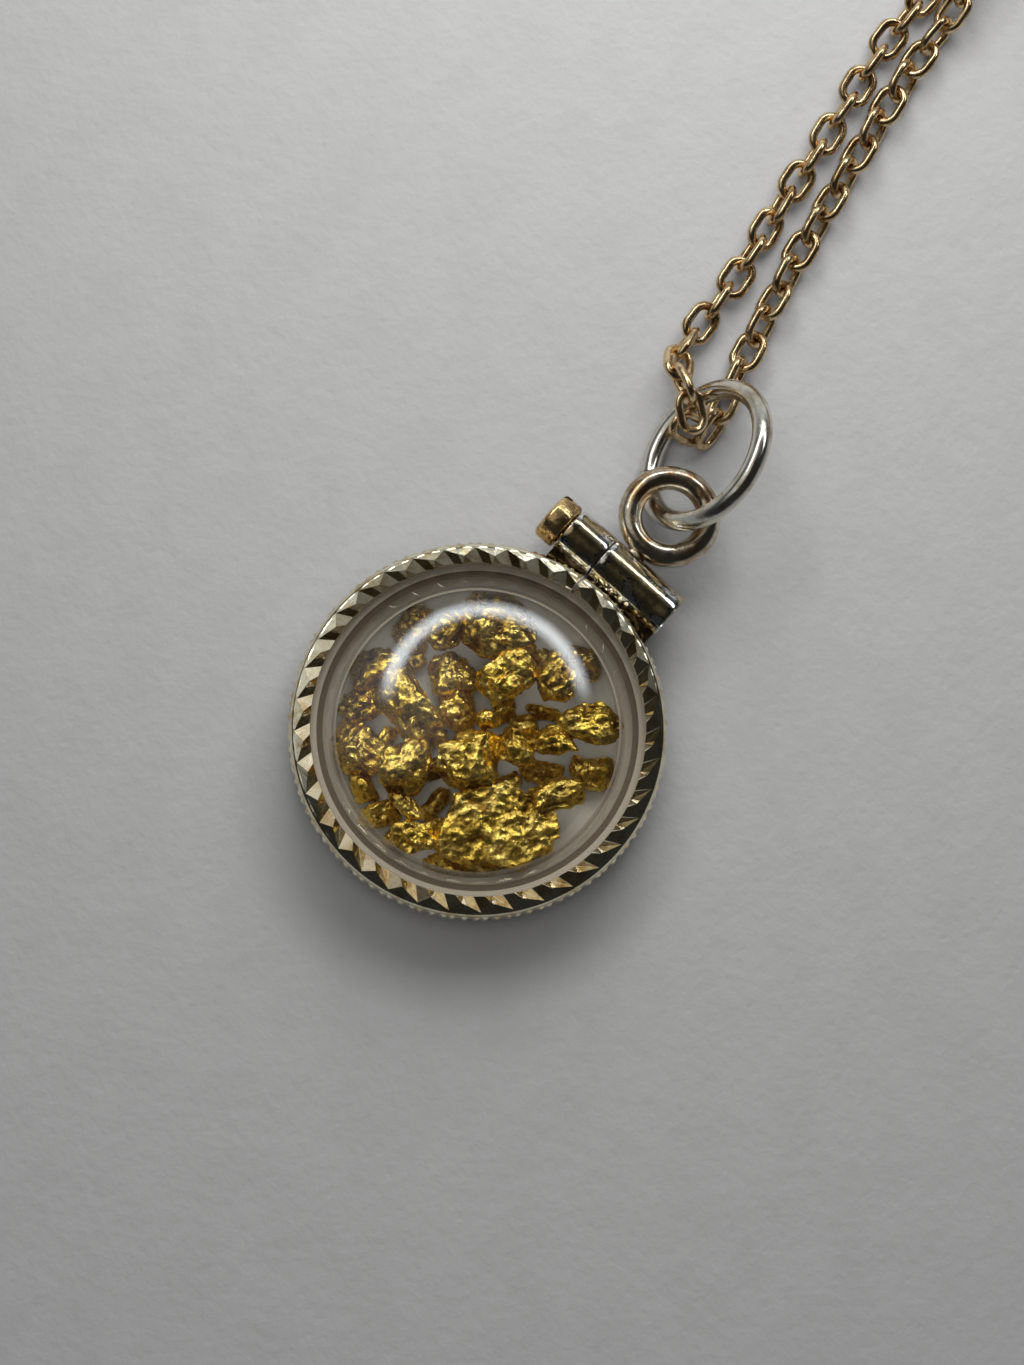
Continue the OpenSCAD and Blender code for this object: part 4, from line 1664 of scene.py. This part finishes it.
@dataclass
class SpringRingClasp:
    """The spring ring clasp and the two end rings."""

    at: tuple[float, float, float] = (6.1, 65.2, 0.65)
    turn: float = -14.7
    radius: float = 2.15
    tube: float = 0.65
    bore: float = 0.5
    trigger: float = 0.44
    mouth: float = 62.0
    eye_x: float = -3.5
    eye: float = 0.8
    eye_wire: float = 0.2
    end_ring: float = 0.95
    end_wire: float = 0.2
    chain_end: tuple[float, float, float] = (2.5, 58.75, 0.2)

    def place(self, shape: tuple[np.ndarray, Faces]) -> tuple[np.ndarray, Faces]:
        """Moves a shape from the clasp's own frame to where it lies."""
        return turned(shape[0], (180, "X"), (self.turn, "Z"), at=self.at), shape[1]

    def bow(self, start: float, end: float, radius: float, sides: int = 24) -> tuple[np.ndarray, Faces]:
        """A round bar along the clasp's circle from start to end in degrees."""
        a = np.radians(np.linspace(start, end, max(8, int(abs(end - start) / 5))))
        path = np.c_[self.radius * np.cos(a), self.radius * np.sin(a), 0 * a]
        return sweep(path, radius, sides)

    def ring(self, radius: float, wire: float) -> tuple[np.ndarray, Faces]:
        """A small closed ring lying flat."""
        a = np.linspace(0, 2 * math.pi, 40, endpoint=False)
        return sweep(np.c_[radius * np.cos(a), radius * np.sin(a), 0 * a], wire, 14, closed=True)

    def body(self, gold: bpy.types.Material) -> bpy.types.Object:
        """The tube with its mouth, its slot and its eye.

        Args:
            gold: Its finish.

        Returns:
            The clasp's body.
        """
        tube = self.place(self.bow(0, 360 - self.mouth, self.tube, 32))
        shell = piece_from("clasp_body_looks", tube, [gold])
        tools = [
            self.bow(-3, 160, self.bore, 24),
            self.bow(352 - self.mouth, 363 - self.mouth, self.bore, 24),
        ]
        slot = np.radians(np.linspace(10, 86, 18))
        rows = []
        for a in slot:
            for r, z in ((2.15, -0.3), (3.2, -0.3), (3.2, 0.3), (2.15, 0.3)):
                rows.append((r * math.cos(a), r * math.sin(a), z))
        ends = [(0, 1, 2, 3), tuple(17 * 4 + k for k in (3, 2, 1, 0))]
        tools.append((np.array(rows), grid_faces(18, 4, False, True) + ends))
        for tool in tools:
            cut_from(shell, piece_from("clasp_cutter", self.place(tool), [gold]), 35.0)
        eye = self.ring(self.eye, self.eye_wire)
        eye = piece_from("clasp_eye", self.place((turned(eye[0], at=(self.eye_x, 0, 0)), eye[1])), [gold])
        combine(shell, eye, "UNION")
        tidy_mesh(shell.data, 35.0)
        return shell

    def slider(self, gold: bpy.types.Material) -> bpy.types.Object:
        """The trigger, a bar in the tube with the nub that a nail pulls.

        Args:
            gold: Its finish.

        Returns:
            The trigger.
        """
        nub, faces = block((1.0, 0.44, 0.44), (2.75, 0, 0))
        bar = self.place(self.bow(-self.mouth - 4, 26, self.trigger))
        trigger = piece_from("clasp_trigger_looks", bar, [gold])
        knob = piece_from("clasp_nub", self.place((turned(nub, (18, "Z")), faces)), [gold])
        combine(trigger, knob, "UNION")
        round_off = trigger.modifiers.new("round", "BEVEL")
        round_off.width, round_off.segments, round_off.limit_method = 0.05 * MM, 2, "ANGLE"
        round_off.angle_limit = math.radians(50)
        bake_modifiers(trigger)
        tidy_mesh(trigger.data, 40.0)
        return show(trigger, "trigger", Slot.CLASP, "clasp_trigger")

    def coil(self, steel: bpy.types.Material) -> bpy.types.Object:
        """The spring inside the tube, a fixed coil from its far end to the trigger.

        Args:
            steel: Its finish.

        Returns:
            The spring.
        """
        turns, steps = 20, 14
        part = np.linspace(0, 1, turns * steps)
        a = np.radians(28 + 124 * part)
        b = 2 * math.pi * turns * part
        r = self.radius + 0.33 * np.cos(b)
        helix = np.c_[r * np.cos(a), r * np.sin(a), 0.33 * np.sin(b)]
        spring = piece_from("clasp_spring_looks", self.place(sweep(helix, 0.055, 6)), [steel])
        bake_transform(spring)
        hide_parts("clasp_spring")
        return spring

    def build(
        self, gold: bpy.types.Material, steel: bpy.types.Material
    ) -> tuple[list[bpy.types.Object], list[bpy.types.Object]]:
        """Builds the clasp and the two end rings.

        Args:
            gold: The clasp's finish.
            steel: The spring's finish.

        Returns:
            The pieces on the left strand's end and those on the right strand's.
        """
        body = show(self.body(gold), PENDANT, Slot.CLASP, "clasp_body")
        trigger = self.slider(gold)
        spring = self.coil(steel)
        lift = self.end_ring + self.end_wire - self.tube
        reach = math.sqrt(self.end_ring**2 - lift**2)
        link = self.ring(self.end_ring, self.end_wire)
        upright = (turned(link[0], (90, "X"), at=(self.eye_x - reach, 0, -lift)), link[1])
        end = piece_from("clasp_end_ring_looks", self.place(upright), [gold])
        end = show(end, PENDANT, Slot.CLASP, "clasp_end_ring")
        tag = piece_from("chain_end_ring_looks", (turned(link[0], at=self.chain_end), link[1]), [gold])
        tag = show(tag, PENDANT, Slot.CLASP, "chain_end_ring")
        return [body, trigger, spring, end], [tag]


# ---------------------------------------------------------------- studio


class Sky:
    """Lays out the world's nodes from the direction that each ray takes."""

    def __init__(self) -> None:
        """Starts an empty world."""
        world = bpy.data.worlds.new("room")
        bpy.context.scene.world = world
        world.use_nodes = True
        self.tree = world.node_tree
        self.tree.nodes.clear()
        self.ray = self.tree.nodes.new("ShaderNodeTexCoord").outputs["Generated"]

    def toward(self, way: Vector) -> bpy.types.NodeSocket:
        """How far the ray points along a way, -1 to 1."""
        dot = self.tree.nodes.new("ShaderNodeVectorMath")
        dot.operation = "DOT_PRODUCT"
        dot.inputs[1].default_value = way
        self.tree.links.new(self.ray, dot.inputs[0])
        return dot.outputs["Value"]

    def math(self, kind: str, a: Any, b: Any = 0.0) -> bpy.types.NodeSocket:
        """Joins two numbers.

        Args:
            kind: The math node's operation.
            a: A value or a socket.
            b: A value or a socket.

        Returns:
            The result's socket.
        """
        node = self.tree.nodes.new("ShaderNodeMath")
        node.operation = kind
        for socket, value in ((node.inputs[0], a), (node.inputs[1], b)):
            if isinstance(value, bpy.types.NodeSocket):
                self.tree.links.new(value, socket)
            else:
                socket.default_value = value
        return node.outputs[0]

    def ease(
        self, value: bpy.types.NodeSocket, low: float, high: float, start: float, end: float
    ) -> bpy.types.NodeSocket:
        """Eases from one strength to another.

        Args:
            value: The socket that it follows.
            low: Where the change starts.
            high: Where it ends.
            start: The strength up to low.
            end: The strength from high on.

        Returns:
            The strength's socket.
        """
        node = self.tree.nodes.new("ShaderNodeMapRange")
        node.interpolation_type = "SMOOTHSTEP"
        self.tree.links.new(value, node.inputs["Value"])
        for key, number in (("From Min", low), ("From Max", high), ("To Min", start), ("To Max", end)):
            node.inputs[key].default_value = number
        return node.outputs["Result"]

    def finish(self, strength: bpy.types.NodeSocket, low: Colour, high: Colour) -> None:
        """Ends the world with a glow.

        Args:
            strength: Its strength's socket.
            low: Its colour near the horizon.
            high: Its colour overhead.
        """
        glow = self.tree.nodes.new("ShaderNodeBackground")
        mix = self.tree.nodes.new("ShaderNodeMix")
        mix.data_type = "RGBA"
        self.tree.links.new(self.ease(self.toward(Vector((0, 0, 1))), 0.72, 0.93, 0.0, 1.0), mix.inputs[0])
        mix.inputs[6].default_value, mix.inputs[7].default_value = (*low, 1.0), (*high, 1.0)
        self.tree.links.new(mix.outputs[2], glow.inputs["Color"])
        self.tree.links.new(strength, glow.inputs["Strength"])
        out = self.tree.nodes.new("ShaderNodeOutputWorld")
        self.tree.links.new(glow.outputs[0], out.inputs["Surface"])


@dataclass
class Studio:
    """Camera, lights, surroundings and the sheet under the locket.

    Directions are (right, up, height), where right and up are the camera's, laid flat on the sheet.
    """

    target: tuple[float, float, float] = (-0.32, 3.06, 3.6)
    distance: float = 165.0
    tilt: float = 7.6
    lean: tuple[float, float] = (0.415, -0.910)
    right: tuple[float, float] = (0.749, 0.663)
    up: tuple[float, float] = (-0.663, 0.749)
    frame_height: float = 71.8
    arc_axis: tuple[float, float, float] = (0.0746, 0.2702, 0.96)
    arc_top: tuple[float, float, float] = (-0.021, 0.963, -0.269)
    arc_angle: float = 35.6
    arc_glow: float = 10.0
    left_way: tuple[float, float, float] = (-0.50, 0.30, 0.81)
    panel_at: tuple[float, float, float] = (14.0, 78.0, 68.0)
    panel_size: float = 80.0
    panel_power: float = 0.175
    fill_at: tuple[float, float, float] = (-10.0, -24.0, 215.0)
    fill_size: float = 130.0
    fill_power: float = 0.205

    def way(self, right: float, up: float, height: float) -> Vector:
        """The direction or place in the locket's frame."""
        flat = Vector((*self.right, 0.0)) * right + Vector((*self.up, 0.0)) * up
        return flat + Vector((0.0, 0.0, height))

    def camera(self) -> None:
        """Sets the camera at its angle."""
        tilt = math.radians(self.tilt)
        aside = Vector((*self.lean, 0.0)) * math.sin(tilt)
        back = (aside + Vector((0.0, 0.0, math.cos(tilt)))).normalized()
        right = Vector((*self.up, 0.0)).cross(back).normalized()
        data = bpy.data.cameras.new("camera")
        data.sensor_width = 36.0
        data.lens = 36.0 * self.distance / self.frame_height
        data.clip_start = 0.01
        data.clip_end = 10.0
        camera = bpy.data.objects.new("camera", data)
        bpy.context.scene.collection.objects.link(camera)
        place = Matrix((right, back.cross(right), back)).transposed().to_4x4()
        place.translation = (Vector(self.target) + back * self.distance) * MM
        camera.matrix_world = place
        bpy.context.scene.camera = camera

    def panel(self, name: str, at: tuple[float, float, float], size: float, power: float) -> None:
        """Hangs a soft square panel that looks at the locket.

        Args:
            name: Its name.
            at: Its place in millimetres.
            size: Its side in millimetres.
            power: Its power in watts.
        """
        data = bpy.data.lights.new(name, "AREA")
        data.shape, data.size, data.energy = "SQUARE", size * MM, power
        lamp = bpy.data.objects.new(name, data)
        bpy.context.scene.collection.objects.link(lamp)
        spot = self.way(*at)
        lamp.rotation_euler = (spot - self.way(6, 14, 0)).to_track_quat("Z", "Y").to_euler()
        lamp.location = spot * MM
        lamp.visible_glossy = False

    def surroundings(self) -> None:
        """Sets the room: an arched window, a pale wall past it and on the left, and dark elsewhere."""
        sky = Sky()
        along_arc = sky.toward(self.way(*self.arc_axis))
        off = sky.math("ABSOLUTE", sky.math("SUBTRACT", along_arc, math.cos(math.radians(self.arc_angle))))
        ends = sky.ease(sky.toward(self.way(*self.arc_top)), 0.02, 0.24, 0.0, 1.0)
        window = sky.math("MULTIPLY", sky.ease(off, 0.008, 0.038, self.arc_glow, 0.0), ends)
        halo = sky.math("MULTIPLY", sky.ease(off, 0.0, 0.24, 0.22, 0.0), ends)
        left = sky.ease(sky.toward(self.way(*self.left_way)), 0.84, 0.96, 0.0, 0.55)
        far = sky.ease(sky.toward(self.way(0, 1, 0)), 0.66, 0.95, 0.0, 0.42)
        walls = sky.ease(sky.toward(Vector((0, 0, 1))), 0.10, 0.36, 0.30, 0.0)
        total = sky.math("ADD", sky.math("ADD", window, halo), sky.math("ADD", left, far))
        total = sky.math("ADD", total, walls)
        sky.finish(sky.math("ADD", total, 0.022), (0.90, 0.96, 1.0), (1.0, 0.95, 0.84))

    def floor(self) -> None:
        """Lays the grained sheet."""
        slab = block((1600, 1600, 4), (0, 0, -2.0))
        sheet = piece_from("grained_sheet", slab, [GrainedSheet().material()])

    def build(self) -> None:
        """Sets everything up."""
        bpy.context.scene.view_settings.view_transform = "Standard"
        self.camera()
        self.panel("far_panel", self.panel_at, self.panel_size, self.panel_power)
        self.panel("fill_panel", self.fill_at, self.fill_size, self.fill_power)
        self.surroundings()
        self.floor()


@dataclass(frozen=True)
class Finishes:
    """The finish of every piece."""

    chain: WornMetal = WornMetal(
        Slot.CHAIN, (0.82, 0.61, 0.35), (0.44, 0.28, 0.14), 0.9, 0.42, rough=(0.16, 0.32)
    )
    clasp: WornMetal = WornMetal(
        Slot.CLASP, (0.88, 0.66, 0.34), (0.60, 0.36, 0.14), 0.8, 0.2, rough=(0.12, 0.26)
    )
    spring: WornMetal = WornMetal(Slot.SPRING, (0.62, 0.62, 0.61), (0.35, 0.33, 0.30), 0.4, 0.2)
    bezel: WornMetal = WornMetal(
        Slot.BEZEL, (0.90, 0.81, 0.60), (0.62, 0.47, 0.26), 0.9, 0.34, (0.05, 0.16), 0.004, 0.002
    )
    knuckle: WornMetal = WornMetal(
        Slot.KNUCKLE, (0.76, 0.75, 0.72), (0.56, 0.45, 0.27), 1.5, 0.34, (0.06, 0.22), dent=0.012, edged=0.8
    )
    # painted shade: near-black brown solder paints the shade under the knuckle tubes
    solder: WornMetal = WornMetal(
        Slot.KNUCKLE, (0.15, 0.10, 0.055), (0.06, 0.04, 0.02), 0.6, 0.5, (0.25, 0.5), dent=0.02
    )
    screw: WornMetal = WornMetal(
        Slot.SCREW, (0.84, 0.60, 0.28), (0.36, 0.22, 0.10), 0.7, 0.45, (0.16, 0.36), 0.03, 0.008
    )
    bail: WornMetal = WornMetal(
        Slot.BAIL, (0.70, 0.64, 0.53), (0.42, 0.27, 0.15), 1.3, 0.48, (0.12, 0.30), dent=0.012
    )
    jump: WornMetal = WornMetal(
        Slot.JUMP, (0.75, 0.71, 0.62), (0.48, 0.41, 0.30), 1.6, 0.34, (0.13, 0.28), dent=0.01
    )
    clear: Glass = Glass("crystal_finish")
    edge: Glass = Glass(
        "crystal_edge_finish", (0.82, 0.79, 0.73), gloss=0.08, haze=0.46, haze_colour=(0.33, 0.29, 0.23)
    )
    # painted shade: near-black hazy glass that paints the dark ring at the dome's foot
    foot: Glass = Glass(
        "crystal_foot_painted_shade", (0.42, 0.38, 0.33), gloss=0.08, haze=0.5, haze_colour=(0.07, 0.055, 0.04)
    )
    under: Glass = Glass("back_crystal_finish", haze=0.42, haze_colour=(0.58, 0.54, 0.46))
    raw_gold: RawGold = RawGold()
    quartz: Stone = Stone()


def main() -> None:
    """Builds the locket in order."""
    logging.basicConfig(level=logging.INFO, format="%(name)s: %(message)s", stream=sys.stdout)
    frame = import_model()
    Studio().build()
    use = Finishes()
    chain_gold = use.chain.material()
    left_end, right_end = SpringRingClasp().build(use.clasp.material(), use.spring.material())
    CableChain().build(chain_gold, left_end, right_end)
    BezelRing().build(use.bezel.material())
    Crystals().build([use.clear.material(), use.edge.material(), use.foot.material()], use.under.material())
    NuggetPile().build(frame["nodes"], use.raw_gold.material(), use.quartz.material())
    Knuckles().build(use.knuckle.material(), use.solder.material())
    ClampScrew().build(use.screw.material())
    WireRings().build(use.bail.material(), use.jump.material())


if __name__ == "__main__":
    main()
